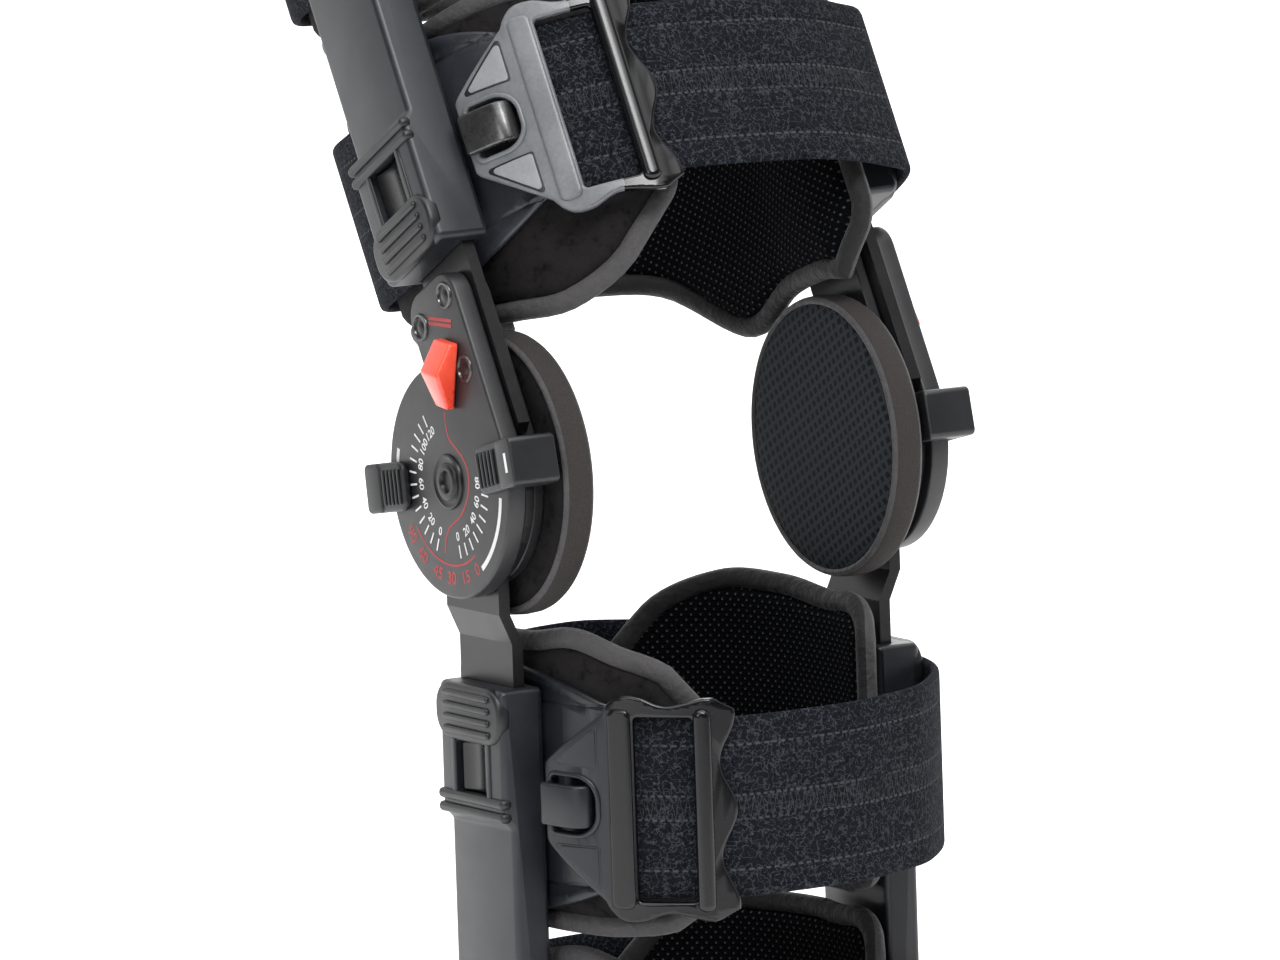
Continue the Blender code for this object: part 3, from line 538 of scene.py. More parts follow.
def rounded(corners, steps=8):
    """An outline whose corners (x, y, radius) are rounded with short arcs."""
    points = []
    for i, (x, y, radius) in enumerate(corners):
        here = Vector((x, y))
        if radius <= 0:
            points.append((x, y))
            continue
        before = (Vector(corners[i - 1][:2]) - here).normalized()
        after = (Vector(corners[(i + 1) % len(corners)][:2]) - here).normalized()
        half = before.angle(after) / 2
        middle = here + (before + after).normalized() * (radius / math.sin(half))
        first = here + before * (radius / math.tan(half)) - middle
        last = here + after * (radius / math.tan(half)) - middle
        sweep = first.angle_signed(last)
        for k in range(steps + 1):
            spoke = first.copy()
            spoke.rotate(Matrix.Rotation(-sweep * k / steps, 2))
            points.append(tuple(middle + spoke))
    return points


def box_outline(x_low, x_high, y_low, y_high, radius=0.0):
    return rounded([(x_low, y_low, radius), (x_high, y_low, radius), (x_high, y_high, radius),
                    (x_low, y_high, radius)])


def boxed(x, y, half_x, half_y, radius=0.0):
    return box_outline(x - half_x, x + half_x, y - half_y, y + half_y, radius)


def slab(outlines, low, high, edge=0.0):
    """A flat outline, with any holes, as a closed shape from low to high, its edges rounded over."""
    curve = bpy.data.curves.new("outline", "CURVE")
    curve.dimensions = "2D"
    curve.fill_mode = "BOTH"
    curve.extrude = (high - low) / 2 - edge
    curve.bevel_depth = edge
    curve.bevel_resolution = 2
    curve.offset = -edge
    for points in outlines:
        spline = curve.splines.new("POLY")
        spline.points.add(len(points) - 1)
        for point, (x, y) in zip(spline.points, points):
            point.co = (x, y, 0.0, 1.0)
        spline.use_cyclic_u = True
    return shifted(merged(curve_shape(curve)), (0, 0, (low + high) / 2))


FACE_ON = Matrix(((0, 0, 1, 0), (-1, 0, 0, 0), (0, 1, 0, 0), (0, 0, 0, 1)))
EDGE_ON = Matrix(((1, 0, 0, 0), (0, 0, -1, 0), (0, 1, 0, 0), (0, 0, 0, 1)))
ON_EDGE = Matrix(((1, 0, 0, 0), (0, 0, 1, 0), (0, 1, 0, 0), (0, 0, 0, 1)))


def laid(made, lay):
    bmesh.ops.transform(made, matrix=lay, verts=made.verts)
    return made


def lathe(profile, steps=64):
    """A turned shape about the u axis: profile (radius, u) from its outer end to its inner one."""
    made = bmesh.new()
    points = [made.verts.new((radius, 0, u)) for radius, u in profile]
    edges = [made.edges.new(pair) for pair in zip(points, points[1:])]
    bmesh.ops.spin(made, geom=points + edges, cent=(0, 0, 0), axis=(0, 0, 1), angle=math.tau, steps=steps,
                   use_merge=True)
    return laid(merged(made), FACE_ON)


def tinted(made, index):
    for face in made.faces:
        face.material_index = index
    return made


def lettering(words, height, f, t, side, degrees):
    """Upright numerals printed on a face, read from outside on either side of the leg."""
    curve = bpy.data.curves.new("print", "FONT")
    curve.body = words
    curve.size = height * 1.4
    curve.align_x = "CENTER"
    curve.align_y = "CENTER"
    curve.offset = height * 0.02
    curve.resolution_u = 3
    made = curve_shape(curve)
    bmesh.ops.scale(made, vec=(-side, 1, 1), verts=made.verts)
    return laid(shifted(spun(made, degrees, "Z"), (f, t, PRINT_LEVEL)), FACE_ON)


# Lines round the leg

def smooth_line(points, count):
    """Evenly spaced points on a smooth curve through the given ones."""
    dense = []
    ends = [points[0], *points, points[-1]]
    for a, b, c, d in zip(ends, ends[1:], ends[2:], ends[3:]):
        for k in range(12):
            s = k / 12
            dense.append(tuple(
                0.5 * (2 * q + (r - p) * s + (2 * p - 5 * q + 4 * r - w) * s * s + (3 * q - p - 3 * r + w) * s ** 3)
                for p, q, r, w in zip(a, b, c, d)
            ))
    dense.append(tuple(points[-1]))
    lengths = [0.0]
    for a, b in zip(dense, dense[1:]):
        lengths.append(lengths[-1] + math.dist(a[:2], b[:2]))
    line = []
    k = 0
    for i in range(count + 1):
        want = lengths[-1] * i / count
        while k < len(lengths) - 2 and lengths[k + 1] < want:
            k += 1
        share = (want - lengths[k]) / (lengths[k + 1] - lengths[k])
        line.append(tuple(p + (q - p) * share for p, q in zip(dense[k], dense[k + 1])))
    return line


def offset_line(line, distance):
    moved_line = []
    for i, (x, f, *more) in enumerate(line):
        before, after = line[max(i - 1, 0)], line[min(i + 1, len(line) - 1)]
        direction = Vector((after[0] - before[0], after[1] - before[1])).normalized()
        moved_line.append((x + direction.y * distance, f - direction.x * distance, *more))
    return moved_line


def cuff_across(section):
    return SLEEVE[section]["inner"] - GAP - CUFF_WALL / 2


def shell_line(section, name, count=32):
    """The middle of the cuffs' wall on one side of the leg, as if that side were +X."""
    key = f"{section}_{name}"
    stations = BACK_STATIONS + FRONT_STATIONS[key]
    ends = PAD_FAR_ENDS[key]
    far = [PAD_FAR] * (len(stations) - len(ends)) + ends
    wide, deep = cuff_across(section), HALF_DEPTH[section]
    return smooth_line([(wide * x, deep * f, knee, reach)
                        for (x, f), knee, reach in zip(stations, PAD_KNEE[key], far)], count)


def strap_line(section):
    """The strap's way from behind the outer sleeve, round the back and the inner sleeve, and over the front."""
    rear = SLEEVE[section]["centre"] - SLEEVE_WIDTH / 2
    front = SLEEVE[section]["centre"] + SLEEVE_WIDTH / 2
    medial = SLEEVE[section]["block"] + GAP + STRAP_WALL / 2 + GAP
    wall = offset_line(shell_line(section, "lateral"), STRAP_OFFSET)
    start = rear - 2 * GAP
    back = [(-x, f) for x, f, *_ in reversed(wall) if f < start - 6 * MM]
    points = [(-cuff_across(section) - STRAP_OFFSET, start)] + back[::4]
    points += [(x, f) for x, f, *_ in wall[2::4] if f < -0.5 * HALF_DEPTH[section]]
    points += [(medial, rear - 4 * MM), (medial, front + 2 * MM)]
    points += [(medial * x, HALF_DEPTH[section] * f) for x, f in STRAP_FRONT[section]]
    points += [(-x, f) for x, f, *_ in wall[::-3] if f > SLEEVE[section]["centre"]]
    return smooth_line(points, 96)


class Route:
    """A line round the leg with how far along each point is and which way is out."""

    def __init__(self, line):
        self.points = [Vector(p[:2]) for p in line]
        self.far = [0.0]
        for a, b in zip(self.points, self.points[1:]):
            self.far.append(self.far[-1] + (b - a).length)
        self.length = self.far[-1]
        self.out = []
        for i in range(len(self.points)):
            direction = self.points[min(i + 1, len(self.points) - 1)] - self.points[max(i - 1, 0)]
            direction.normalize()
            self.out.append(Vector((direction.y, -direction.x)))

    def place(self, along, outwards):
        """A point of the line pushed outwards, smooth between the line's own points."""
        step = self.length / (len(self.points) - 1)
        k = min(max(int(along / step), 0), len(self.points) - 2)
        share = (along - self.far[k]) / (self.far[k + 1] - self.far[k])
        a, b = self.points[k], self.points[k + 1]
        way_in = Vector((-self.out[k].y, self.out[k].x)) * (b - a).length
        way_out = Vector((-self.out[k + 1].y, self.out[k + 1].x)) * (b - a).length
        if 0 <= share <= 1:
            s2, s3 = share * share, share ** 3
            point = (a * (2 * s3 - 3 * s2 + 1) + way_in * (s3 - 2 * s2 + share)
                     + b * (3 * s2 - 2 * s3) + way_out * (s3 - s2))
        else:
            point = a + (b - a) * share
        out = self.out[k].lerp(self.out[k + 1], min(max(share, 0), 1)).normalized()
        return point + out * outwards

    def turn_at(self, degrees):
        """How far along the line its outer-front part first reaches an angle from straight ahead."""
        turns = [math.degrees(math.atan2(-x, f)) for x, f in self.points]
        for k in range(len(self.points) // 2, len(self.points)):
            if turns[k] >= degrees:
                back = (turns[k] - degrees) / (turns[k] - turns[k - 1])
                return self.far[k] - back * (self.far[k] - self.far[k - 1])
        return self.length * 0.9


def wrapped(made, route, start, way, level, section=None):
    """Bends a flat shape in w, t and n round the leg, from a start along a route. A section's strap and what it
    carries slope down to the front and rise behind."""
    for vertex in made.verts:
        w, t, n = vertex.co
        place = route.place(start + way * w, n)
        drop = 0.0
        if section:
            behind = min(place.y, 0.0) / HALF_DEPTH[section]
            drop = TILT[section] * place.y - BACK_RISE[section] * behind * behind
        vertex.co = (place.x, -place.y, level + t - drop)
    return made


def cut_across(made, axis, at):
    place, normal = [0, 0, 0], [0, 0, 0]
    place[axis], normal[axis] = at, 1
    bmesh.ops.bisect_plane(made, geom=whole(made), dist=1e-7, plane_co=place, plane_no=normal)


def sliced(made, step, axis=0):
    """Cuts a flat shape across at even steps, so that it can bend."""
    low = min(v.co[axis] for v in made.verts)
    high = max(v.co[axis] for v in made.verts)
    for k in range(1, int((high - low) / step) + 1):
        cut_across(made, axis, low + k * step)
    return made


def soft_panel(outline, rings, step, backs=(), rows=None):
    """A flat cloth or wall of any outline: rings stepped in from its edge, mirrored to its back, where finishes
    may change, and joined along the edge. Its own map keeps w and t, so that a weave
    follows it when it bends."""
    made = bmesh.new()
    face = made.faces.new([made.verts.new((w, t, 0)) for w, t in outline])
    face.normal_update()
    if face.normal.z < 0:
        bmesh.ops.reverse_faces(made, faces=[face])
    for inset, height, index in rings:
        ring = bmesh.ops.inset_region(made, faces=[face], thickness=inset * MM, use_even_offset=True,
                                      use_boundary=True)
        for other in ring["faces"]:
            other.material_index = index
        for vertex in face.verts:
            vertex.co.z = height * MM
    face.material_index = rings[-1][2]
    sliced(made, step)
    if rows:
        sliced(made, rows, axis=1)
    spread = made.loops.layers.uv.new("cloth")
    back = bmesh.ops.duplicate(made, geom=whole(made))["geom"]
    bmesh.ops.scale(made, vec=(1, 1, -1), verts=[v for v in back if isinstance(v, bmesh.types.BMVert)])
    for other in [f for f in back if isinstance(f, bmesh.types.BMFace)]:
        other.material_index = dict(backs).get(other.material_index, other.material_index)
    merged(made)
    for other in made.faces:
        for loop in other.loops:
            loop[spread].uv = (loop.vert.co.x, loop.vert.co.y)
    return made


# Hinges

def mark(f, t, length, width, degrees, level=PRINT_LEVEL):
    """A short printed bar, centred on a point of the face and turned in its plane."""
    made = slab([boxed(0, 0, width / 2, length / 2)], 0, 0.06 * MM)
    return laid(shifted(spun(made, degrees, "Z"), (f, t, level)), FACE_ON)


def ribbon(points, width):
    """A printed line of even width through the given points."""
    made = bmesh.new()
    pairs = []
    for i, (f, t) in enumerate(points):
        before, after = points[max(i - 1, 0)], points[min(i + 1, len(points) - 1)]
        along = Vector((after[0] - before[0], after[1] - before[1])).normalized() * (width / 2)
        pairs.append((made.verts.new((f - along.y, t + along.x, PRINT_LEVEL)),
                      made.verts.new((f + along.y, t - along.x, PRINT_LEVEL))))
    for (a, b), (c, d) in zip(pairs, pairs[1:]):
        made.faces.new((a, b, d, c))
    return laid(made, FACE_ON)


def around(radius, from_down, forward=True):
    """A point of the dial at an angle from straight down, in world directions: forwards or to the rear."""
    angle = math.radians(from_down if forward else -from_down)
    return radius * math.sin(angle), -radius * math.cos(angle)


def build_print(name, side):
    """The dial's white and red print. It is made upright and leans with no section."""
    white, red = [], []
    for count, first, step, forward in ((13, 16, 10.08, False), (10, 20, 10, True)):
        for k in range(count):
            degrees = first + k * step
            lean = degrees if forward else -degrees
            white.append(mark(*around(TICK_RADIUS, degrees, forward), 3.7 * MM, 0.55 * MM, lean))
            if k % 2 == 0:
                white.append(lettering(str(k * 10), 2.5 * MM, *around(NUMBER_RADIUS, degrees, forward), side,
                                       (90 + lean) % 180 - 90))
    for start, end, way in ((62, 98, False), (42, 92, True)):
        white.append(ribbon([around(28.4 * MM, start + (end - start) * k / 12, way) for k in range(13)], 1.5 * MM))
    for degrees, words in ((37, "0"), (22, "15"), (5, "30"), (-10.6, "45"), (-29.6, "60"), (-46, "90")):
        red.append(lettering(words, 3.6 * MM, *around(27.4 * MM, degrees), side, degrees))
    red.append(ribbon([around(23.6 * MM, -46 + 86 * k / 24) for k in range(25)], 0.55 * MM))
    red.append(ribbon(smooth_line(mm(*POINTER), 40), 0.6 * MM))
    made = join([tinted(m, 0) for m in white] + [tinted(m, 1) for m in red])
    finish_piece(f"dial_print_{name}", made, "hinges", "printed_plate", ["white_print", "red_print"], side=side,
                 doubles=False)


def hinge_outline():
    """The dial's disc with its neck, which is flush with the disc in front."""
    rear = DISC_RADIUS - NECK_WIDTH
    meet = math.acos(rear / DISC_RADIUS)
    crown = rounded([(DISC_RADIUS, 0, 0), (DISC_RADIUS, NECK_TOP, NECK_CORNER), (rear, NECK_TOP, NECK_CORNER),
                     (rear, DISC_RADIUS * math.sin(meet), 0)], 12)
    return crown[1:-1] + arc(DISC_RADIUS, math.degrees(meet), 360, 96)


def build_hinge(name, side):
    at = {"body": "hinges", "side": side, "section": "thigh"}
    plate = slab([hinge_outline()], FACE_INNER, FACE_OUTER, 0.9 * MM)
    finish_piece(f"hinge_plate_{name}", laid(plate, FACE_ON), slot="printed_plate",
                 replaced=[f"hinge_face_{name}"], **at)
    cap = lathe([(radius * MM, FACE_OUTER + level * MM) for radius, level in CAP])
    finish_piece(f"pivot_cap_{name}", cap, slot="black_metal", replaced=[f"pivot_{name}"], **at)
    rivets = []
    for place in mm((0, -27, 45), (0, -10, 43), (0, -26, 23)):
        rivet = lathe([(radius * MM, FACE_OUTER + level * MM) for radius, level in RIVET], 48)
        for face in rivet.faces:
            middle = face.calc_center_median()
            face.material_index = int(math.hypot(middle.y, middle.z) > RIVET_RIM)
        rivets.append(shifted(rivet, place))
    finish_piece(f"neck_rivets_{name}", join(rivets), slot="black_metal", finishes=["black_metal", "rivet_metal"],
                 **at)
    bars = [mark((21.2 - k * 0.85) * MM, (40.3 - k * 1.2) * MM, 12.5 * MM, 0.95 * MM, 61.5) for k in (0, 1)]
    finish_piece(f"neck_marks_{name}", join(bars), slot="printed_plate", finishes=["red_print"], **at)


def build_switch(name, side):
    """The red lock switch: a faceted thumb wedge, upright in the world rather than along the thigh."""
    profile = rounded([(FACE_OUTER + GAP + u, WEDGE_MIDDLE + t, corner) for u, t, corner in mm(*WEDGE)], 6)
    wedge = laid(slab([profile], -4.75 * MM, 4.75 * MM, 1.0 * MM), EDGE_ON)
    for vertex in wedge.verts:
        reach = (vertex.co.z - WEDGE_MIDDLE) / WEDGE_REACH
        if reach < 0:
            vertex.co.y *= 1 + 0.32 * reach
    finish_piece(f"lock_thumb_{name}", wedge, f"lock_{name}", "red_plastic", replaced=[f"lock_switch_{name}"],
                 side=side)


def build_tab(name, side, kind, angle, depth):
    """A range stop: a ribbed cheek on the dial's face, its neck over the rim and its block outside."""
    inner, outer = DISC_RADIUS + GAP, DISC_RADIUS + 9 * MM
    face = FACE_OUTER + GAP
    top = face + 3 * MM
    half = 7 * MM
    shapes = [slab([box_outline(inner, outer, -half, half, 1.8 * MM)], top - depth, top, 0.8 * MM),
              slab([box_outline(DISC_RADIUS - 12 * MM, outer - 2 * MM, -half, half, 3 * MM)], face, top - 0.5 * MM,
                   1 * MM)]
    for k in range(5):
        shapes.append(slab([boxed(DISC_RADIUS - (10 - 2.1 * k) * MM, 0, 0.55 * MM, half * 0.72, 0.5 * MM)],
                           top - 0.8 * MM, top + 0.25 * MM, 0.4 * MM))
    parts = [tinted(spun(laid(m, FACE_ON), -angle, "X"), 0) for m in shapes]
    finishes = ["black_plastic"]
    if kind == "extension":
        bar = mark(outer - 3.4 * MM, 0, 5.5 * MM, 1.2 * MM, 0, top + 0.02 * MM)
        parts.append(tinted(spun(bar, -angle, "X"), 1))
        finishes.append("white_print")
    finish_piece(f"{kind}_tab_{name}", join(parts), f"{kind}_stop_{name}", "black_plastic", finishes,
                 [f"{kind}_stop_{name}"], side, doubles=False)


def build_condyle(name, side):
    """A thick round foam pad: check cloth towards the leg inside a thin piping, plain cloth round its edge."""
    radius = 40 * MM
    made = soft_panel(arc(radius, 0, 358, 179)[:-1], CONDYLE_RINGS, 3 * MM, {2: 3}, rows=3 * MM)
    for vertex in made.verts:
        far = math.hypot(vertex.co.x, vertex.co.y) / radius
        if vertex.co.z < 0:
            vertex.co.z += 0.5 * MM * max(0, 1 - (far / 0.8) ** 2)
        vertex.co.z = min(vertex.co.z, 4.9 * MM)
    shifted(made, (2 * MM, 0, REAR_INNER - GAP - 4.9 * MM))
    piece = finish_piece(f"condyle_cushion_{name}", laid(made, FACE_ON), "hinges", "pad_cloth",
                         ["pad_side", "binding", "pad_lining", "pad_check"], [f"condyle_pad_{name}"], side, "thigh",
                         sharp=60)


# Sleeves

def build_sleeve(name, side, section):
    """The moulded housing over the bar: its block with a window, collar ridges and a ribbed thumb pad."""
    size = SLEEVE[section]
    way = WAY[section]
    middle = size["centre"]
    at = {"body": f"{section}_section", "side": side, "section": section}
    block_end = SLEEVE_START + BLOCK_LENGTH
    profile = rounded([(size["inner"], way * SLEEVE_START, 1.2 * MM), (size["block"], way * SLEEVE_START, 2 * MM),
                       (size["block"], way * block_end, 1.6 * MM), (size["face"], way * (block_end + 3 * MM), 2 * MM),
                       (size["face"], way * SLEEVE_END, 1.5 * MM), (size["inner"], way * SLEEVE_END, 1.2 * MM)], 5)
    shell = laid(slab([profile], middle - SLEEVE_WIDTH / 2, middle + SLEEVE_WIDTH / 2, 1.7 * MM), EDGE_ON)
    half = size["bar_width"] / 2 + 0.4 * MM
    past = 4 * MM
    ends = sorted((way * (SLEEVE_START - past), way * (SLEEVE_END + past)))
    bore = laid(slab([box_outline(size["bar"] - 0.4 * MM, size["bar"] + BAR_THICK + 0.4 * MM, *ends)],
                     size["bar_centre"] - half, size["bar_centre"] + half), EDGE_ON)
    window = laid(slab([boxed(middle, way * WINDOW_MIDDLE, 8.25 * MM, 7.5 * MM, 1.2 * MM)],
                       size["bar"] + BAR_THICK, size["block"] + past), FACE_ON)
    piece = finish_piece(f"{section}_housing_{name}", shell, slot="satin_plastic",
                         replaced=[f"{section}_sleeve_{name}"], **at)
    carve(piece, join([bore, window]), side, section)

    top = size["block"]
    relief = []
    for f, t, long, tall, corner, low, high, edge in mm(*RELIEF):
        ridge = slab([boxed(middle + f, way * t, long, tall, corner)], top + low, top + high, edge)
        relief.append(laid(ridge, FACE_ON))
    finish_piece(f"{section}_grip_{name}", join(relief), slot="satin_plastic", finishes=["black_plastic"],
                 doubles=False, **at)

    high = top - 1.4 * MM
    insert = slab([boxed(middle - 1.15 * MM, way * WINDOW_MIDDLE, 6.75 * MM, 7.2 * MM, 1.2 * MM)],
                  high - 3.6 * MM, high, 0.7 * MM)
    sliced(insert, 0.8 * MM)
    for vertex in insert.verts:
        if vertex.co.z > high - 1 * MM:
            vertex.co.z -= 1.3 * MM * max(0, 1 - ((vertex.co.x - middle + 1.2 * MM) / (6.5 * MM)) ** 2)
    finish_piece(f"{section}_press_{name}", laid(insert, FACE_ON), f"{section}_button_{name}", "gloss_plastic",
                 replaced=[f"{section}_button_{name}"], side=side, section=section)


def carve(piece, made, side, section):
    """Cuts a shape out of a finished piece."""
    cutter = placed("cutter", mesh_of(settled(made, side, section), "cutter"))
    tool = piece.modifiers.new("carve", "BOOLEAN")
    tool.operation = "DIFFERENCE"
    tool.use_self = True
    tool.object = cutter
    carved = as_mesh(piece)
    piece.modifiers.clear()
    carved.name = piece.name
    carved.shade_smooth()
    carved.set_sharp_from_angle(angle=math.radians(38))
    piece.data = carved
    bpy.data.objects.remove(cutter)


# Cuffs, pads and straps

def build_pad(section, label, level, name, side):
    """A foam pad: mesh towards the leg, brushed knit outside, and a bound edge all round."""
    inward = CUFF_WALL / 2 + GAP + PAD_WALL / 2
    line = offset_line(shell_line(section, name, 120), -inward)
    line[0] = (GAP + abs(line[0][0]) * 0.4, *line[0][1:])
    route = Route(line)
    corner = 15 * MM
    most = FAR_PAD_KNEE if label.startswith("far") else 1
    lower, upper = [], []
    for p, w in zip(line, route.far):
        knee, far = min(p[2], most) * PAD_HEIGHT, p[3] * PAD_HEIGHT
        low, high = (knee, far) if WAY[section] > 0 else (far, knee)
        lower.append((w, -low, 0))
        upper.append((w, high, 0))
    keep = [i for i, w in enumerate(route.far) if 16 * MM < w < route.length - corner - 2 * MM][::3]
    last = len(line) - 1
    tall = upper[last][1] - lower[last][1]
    end = min(corner, tall * 0.45)
    outline = rounded([lower[0]] + [lower[i] for i in keep] + [(*lower[last][:2], end), (*upper[last][:2], end)]
                      + [upper[i] for i in reversed(keep)] + [upper[0]], 10)
    made = soft_panel(outline, PAD_RINGS, 3.5 * MM, {0: 3, 1: 2})
    wrapped(made, route, 0, 1, level)
    # The last finish, for the binding on the leg side, is the binding darkened as painted shade
    piece = finish_piece(f"{label}_cushion_{name}", made, f"{section}_section", "pad_cloth",
                         ["binding", "pad_lining", "pad_mesh", "inner_binding"], [f"{label}_pad_{name}"], side,
                         section, sharp=60)


def build_cuff(section, label, level, name, side):
    """A moulded wing on the sleeve, with a raised rim and a crease; the outer one carries the buckle's hook."""
    line = shell_line(section, name, 120)
    rear = SLEEVE[section]["centre"] - SLEEVE_WIDTH * 0.65
    front = SLEEVE[section]["centre"] + SLEEVE_WIDTH / 2 - 2 * MM
    last = int(len(line) * CUFF_FRONT_SHARE)
    kept = [p for p in (line[:last] if side < 0 else line) if p[1] > rear and (side < 0 or p[1] < front)]
    route = Route(kept)
    half = CUFF_HEIGHT / 2
    count = 48
    lower, upper = [], []
    for k in range(count + 1):
        s = k / count
        bend = 0.86 * (2 * s - 1) if side > 0 else 0.9 * max(s - 0.2, 0) / 0.8
        reach = half * math.sqrt(1 - bend * bend)
        lower.append((s * route.length, -reach, 0))
        upper.append((s * route.length, reach, 0))
    outline = rounded([lower[0]] + lower[6:-5] + [(*lower[-1][:2], 7 * MM), (*upper[-1][:2], 7 * MM)]
                      + upper[-6:5:-1] + [upper[0]], 8)
    made = soft_panel(outline, CUFF_RINGS, 3 * MM)
    for t in (-26.2, -25.8, -25.2, -24.8, 24.8, 25.2, 25.8, 26.2):
        cut_across(made, 1, t * MM)
    for vertex in made.verts:
        if vertex.co.z > 0 and 25.1 * MM < abs(vertex.co.y) < 25.9 * MM:
            vertex.co.z -= 0.45 * MM
    wrapped(made, route, 0, 1, level)
    # On the thigh the wing takes wing_painted_light, the wing plastic made paler as painted light
    finish_piece(f"{label}_wing_{name}", made, f"{section}_section", "satin_plastic",
                 ["wing_painted_light" if section == "thigh" else "wing_plastic"],
                 [f"{label}_cuff_{name}"], side, section, sharp=50)


def build_strap(section, label, level):
    """A loop-felt strap, stitched along its middle and near its edges."""
    route = Route(strap_line(section))
    stop = route.turn_at(BUCKLE_TURN[section]) + STRAP_END
    half = STRAP_WIDTH / 2
    made = soft_panel(box_outline(0, stop, -half, half, 6 * MM), STRAP_RINGS, 2.5 * MM)
    wrapped(made, route, 0, 1, level, section)
    piece = finish_piece(f"{label}_band", made, f"{section}_section", "felt", replaced=[f"{label}_strap"],
                         section=section, sharp=60)


def build_buckle(section, label, level):
    """The moulded buckle: a slotted frame with a wavy grip, and a flange with a window for the hook."""
    route = Route(strap_line(section))
    start = route.turn_at(BUCKLE_TURN[section])
    low, high = BUCKLE_BASE, BUCKLE_BASE + BUCKLE_THICK
    top = mm(*smooth_line(LOBES, 36), *FLANGE_TIP)
    wave = []
    for k in range(41):
        s = 2 * k / 40 - 1
        wave.append(((17.0 + 2.1 * math.cos(s * math.pi * 2.1)) * MM, s * 28.2 * MM))
    outline = wave + top + [(w, -t) for w, t in reversed(top)]
    slot = boxed(0, 0, 7.8 * MM, 26 * MM, 1.2 * MM)
    window, lip = (
        rounded(mm((outer, -half, sharp), (inner, -half, blunt), (inner, half, blunt), (outer, half, sharp)), 8)
        for outer, inner, half, sharp, blunt in ((-31.8, -18.6, 7.8, 1.5, 6), (-33.2, -17.2, 9.2, 2.5, 7.2))
    )
    base = sliced(slab([outline, slot, window], low, high, 0.8 * MM), 2.5 * MM)
    for face in base.faces:
        face.material_index = 3 if face.calc_center_median().x < PALE_TO[section] else 0
    for vertex in base.verts:
        past = vertex.co.x - 12.6 * MM
        if past > 0 and vertex.co.z > (low + high) / 2:
            vertex.co.z -= 0.9 * MM * min(past / (1.2 * MM), 1)
    raised = [tinted(slab([lip, window], high - 1 * MM, high + 0.7 * MM, 0.6 * MM), 3)]
    for inner, outer, reach, rise, edge, tint in ((-14.6, -8.4, 28.2, 0.9, 0.8, 4), (7.9, 12.7, 28.6, 1.9, 1.6, 0)):
        raised.append(tinted(slab([box_outline(inner * MM, outer * MM, -reach * MM, reach * MM, 2.2 * MM)],
                                  high - 2 * MM, high + rise * MM, edge * MM), tint))
    panels, grooves = [], []
    for up in (-1, 1):
        corners = mm((-17.6, 10.8 * up), (-32.6, 11.2 * up), (-17.6, 24.6 * up))
        middle = Vector((-21.6 * MM, 15 * MM * up))
        for reach, rise, shapes, tint in ((0.86, 0.28, panels, 1), (1.0, 0.1, grooves, 2)):
            points = [tuple(middle + (Vector(corner) - middle) * reach) for corner in corners]
            plate = slab([rounded([(*p, 0.9 * MM) for p in points], 4)], high - 0.6 * MM, high + rise * MM, 0.2 * MM)
            shapes.append(tinted(plate, tint))
    made = sliced(join([base, *raised] + panels + grooves), 2.5 * MM)
    wrapped(made, route, start, -1, level, section)
    finish_piece(f"{label}_clasp", made, f"{section}_section", "gloss_plastic", BUCKLE_FINISH[section],
                 [f"{label}_buckle"], 1, section, doubles=False)
    over = high + 0.8 * MM
    root = -STRAP_OFFSET
    stem, tip = -20 * MM, -34 * MM
    profile = rounded([(stem - 2.4 * MM, root, 0), (stem, root, 0), (stem, over + 2.4 * MM, 4.4 * MM),
                       (tip, over + 2.4 * MM, 1.1 * MM), (tip, over, 1.1 * MM),
                       (stem - 2.4 * MM, over, 2.0 * MM)], 8)
    hook = slab([profile], -6 * MM, 6 * MM, 0.8 * MM)
    sliced(laid(hook, ON_EDGE), 2 * MM)
    wrapped(hook, route, start, -1, level, section)
    finish_piece(f"{label}_hook", hook, f"{section}_section", "satin_plastic",
                 ["rivet_metal" if section == "thigh" else "wing_plastic"], (), 1, section)


# Stage

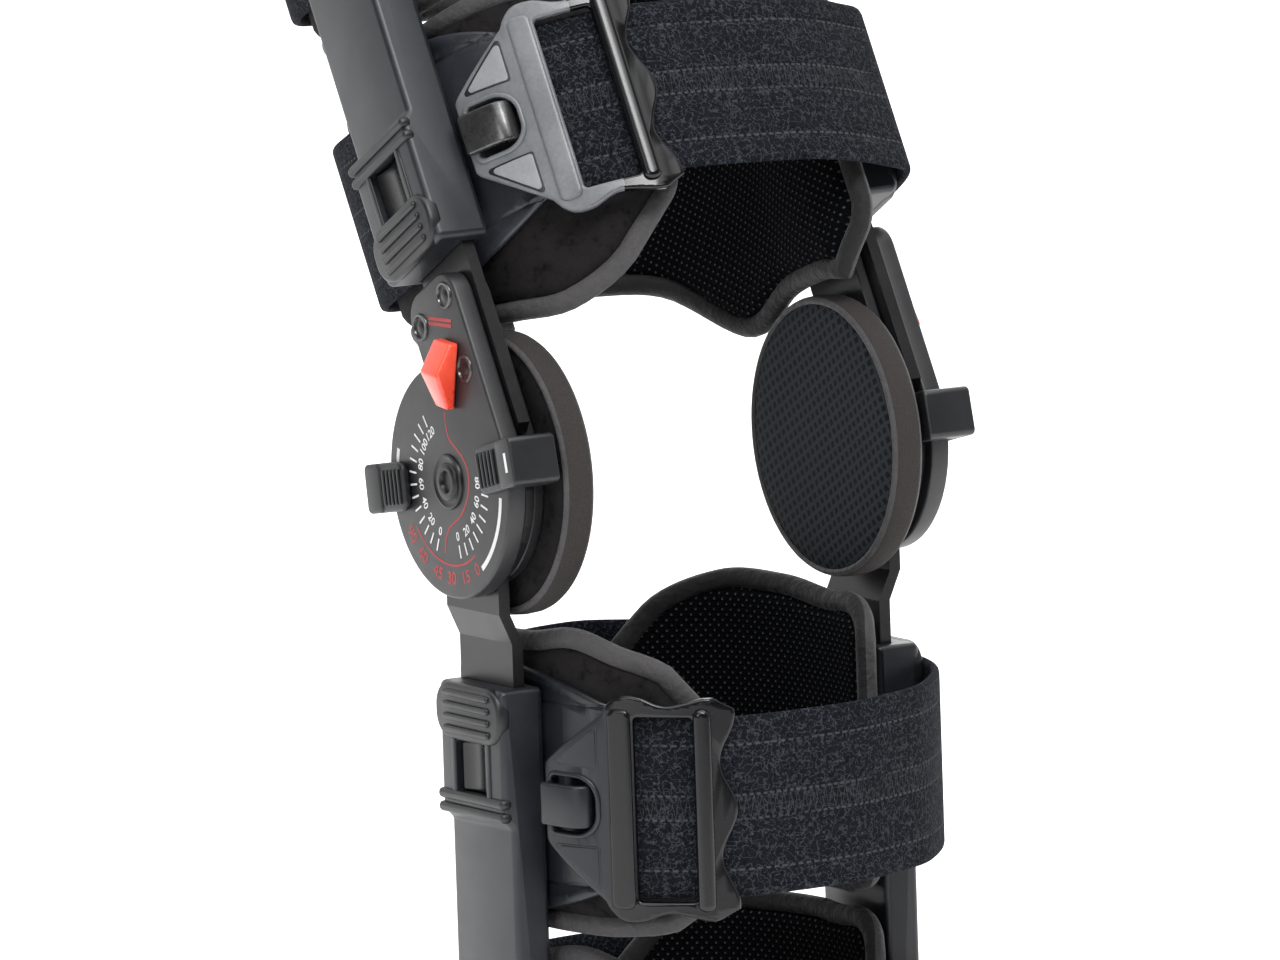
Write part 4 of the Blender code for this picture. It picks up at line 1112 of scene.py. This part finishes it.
def build_stage():
    """A white floor just under the brace, and light that is wide above and brighter from behind."""
    made = bmesh.new()
    bmesh.ops.create_circle(made, cap_ends=True, segments=96, radius=FLOOR_RADIUS)
    shifted(made, (0, 0, cad_box[0][2] - 0.002))
    floor = placed("floor", mesh_of(made, "floor"))
    pale = Finish("floor_finish", (0.93, 0.93, 0.935), 0.9, Emission_Color=(1, 1, 1, 1), Emission_Strength=0.4)
    pale.colour(pale.mix(pale.noise(pale.place(), 0.6, 2), (0.92, 0.92, 0.925), (0.94, 0.94, 0.945)))
    floor.data.materials.append(pale.material)
    world = bpy.data.worlds.new("studio")
    world.use_nodes = True
    sky = Nodes(world.node_tree)
    towards = sky.node("ShaderNodeVectorMath", {"operation": "DOT_PRODUCT"},
                       {0: sky.node("ShaderNodeTexCoord", out="Generated"), 1: (0.45, 0.85, 0.1)}, "Value")
    backdrop = sky.node("ShaderNodeMapRange", {"interpolation_type": "SMOOTHSTEP"},
                        {"Value": towards, "From Min": -0.1, "From Max": 0.45, "To Min": 0.03, "To Max": 1.1})
    seen = sky.node("ShaderNodeLightPath", out="Is Camera Ray")
    background = sky.tree.nodes["Background"]
    background.inputs["Color"].default_value = (1, 1, 1, 1)
    sky.tree.links.new(backdrop.math("MAXIMUM", backdrop, seen).socket, background.inputs["Strength"])
    bpy.context.scene.world = world
    for name, place, size, power in LAMPS:
        light = bpy.data.lights.new(name, "AREA")
        light.shape = "SQUARE"
        light.size = size
        light.energy = power
        lamp = placed(name, light)
        lamp.location = place
        lamp.rotation_euler = (-Vector(place)).to_track_quat("-Z", "Y").to_euler()


def build_camera():
    """The photograph's view: the focal length is in pixels of a frame 1280 wide."""
    azimuth, rise, roll = map(math.radians, CAMERA_TURNS)
    back = Vector((math.sin(azimuth) * math.cos(rise), -math.cos(azimuth) * math.cos(rise), math.sin(rise)))
    right = Vector((math.cos(azimuth), math.sin(azimuth), 0))
    up = right.cross(-back)
    across = right * math.cos(roll) - up * math.sin(roll)
    upright = right * math.sin(roll) + up * math.cos(roll)
    data = bpy.data.cameras.new("camera")
    data.sensor_width = 36
    data.lens = FOCAL_PIXELS / 1280 * 36
    data.clip_end = 100
    camera = placed("camera", data)
    camera.matrix_world = Matrix((across, upright, back)).transposed().to_4x4()
    camera.location = back * CAMERA_AWAY + right * CAMERA_AIM[0] + up * CAMERA_AIM[1]
    bpy.context.scene.camera = camera


build_camera()
for part_name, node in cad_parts.items():
    for part_slot, start in (("black_metal", ("upper_bar", "lower_arm")), ("black_plastic", ("hinge_rear",))):
        if part_name.startswith(start):
            node.data.materials.clear()
            node.data.materials.append(FINISH[part_slot])
for side_name, side_sign in SIDES.items():
    build_hinge(side_name, side_sign)
    build_print(side_name, side_sign)
    build_switch(side_name, side_sign)
    build_tab(side_name, side_sign, "extension", 19.5, 15 * MM)
    build_tab(side_name, side_sign, "flexion", 194, 9 * MM)
    build_condyle(side_name, side_sign)
    for key in LEAN:
        build_sleeve(side_name, side_sign, key)
for key, (home, steps_out) in LABELS.items():
    height = WAY[home] * (STRAP_LEVEL + steps_out * LEVEL_STEP)
    for side_name, side_sign in SIDES.items():
        build_cuff(home, key, height, side_name, side_sign)
        build_pad(home, key, height, side_name, side_sign)
    build_strap(home, key, height)
    build_buckle(home, key, height)
build_stage()
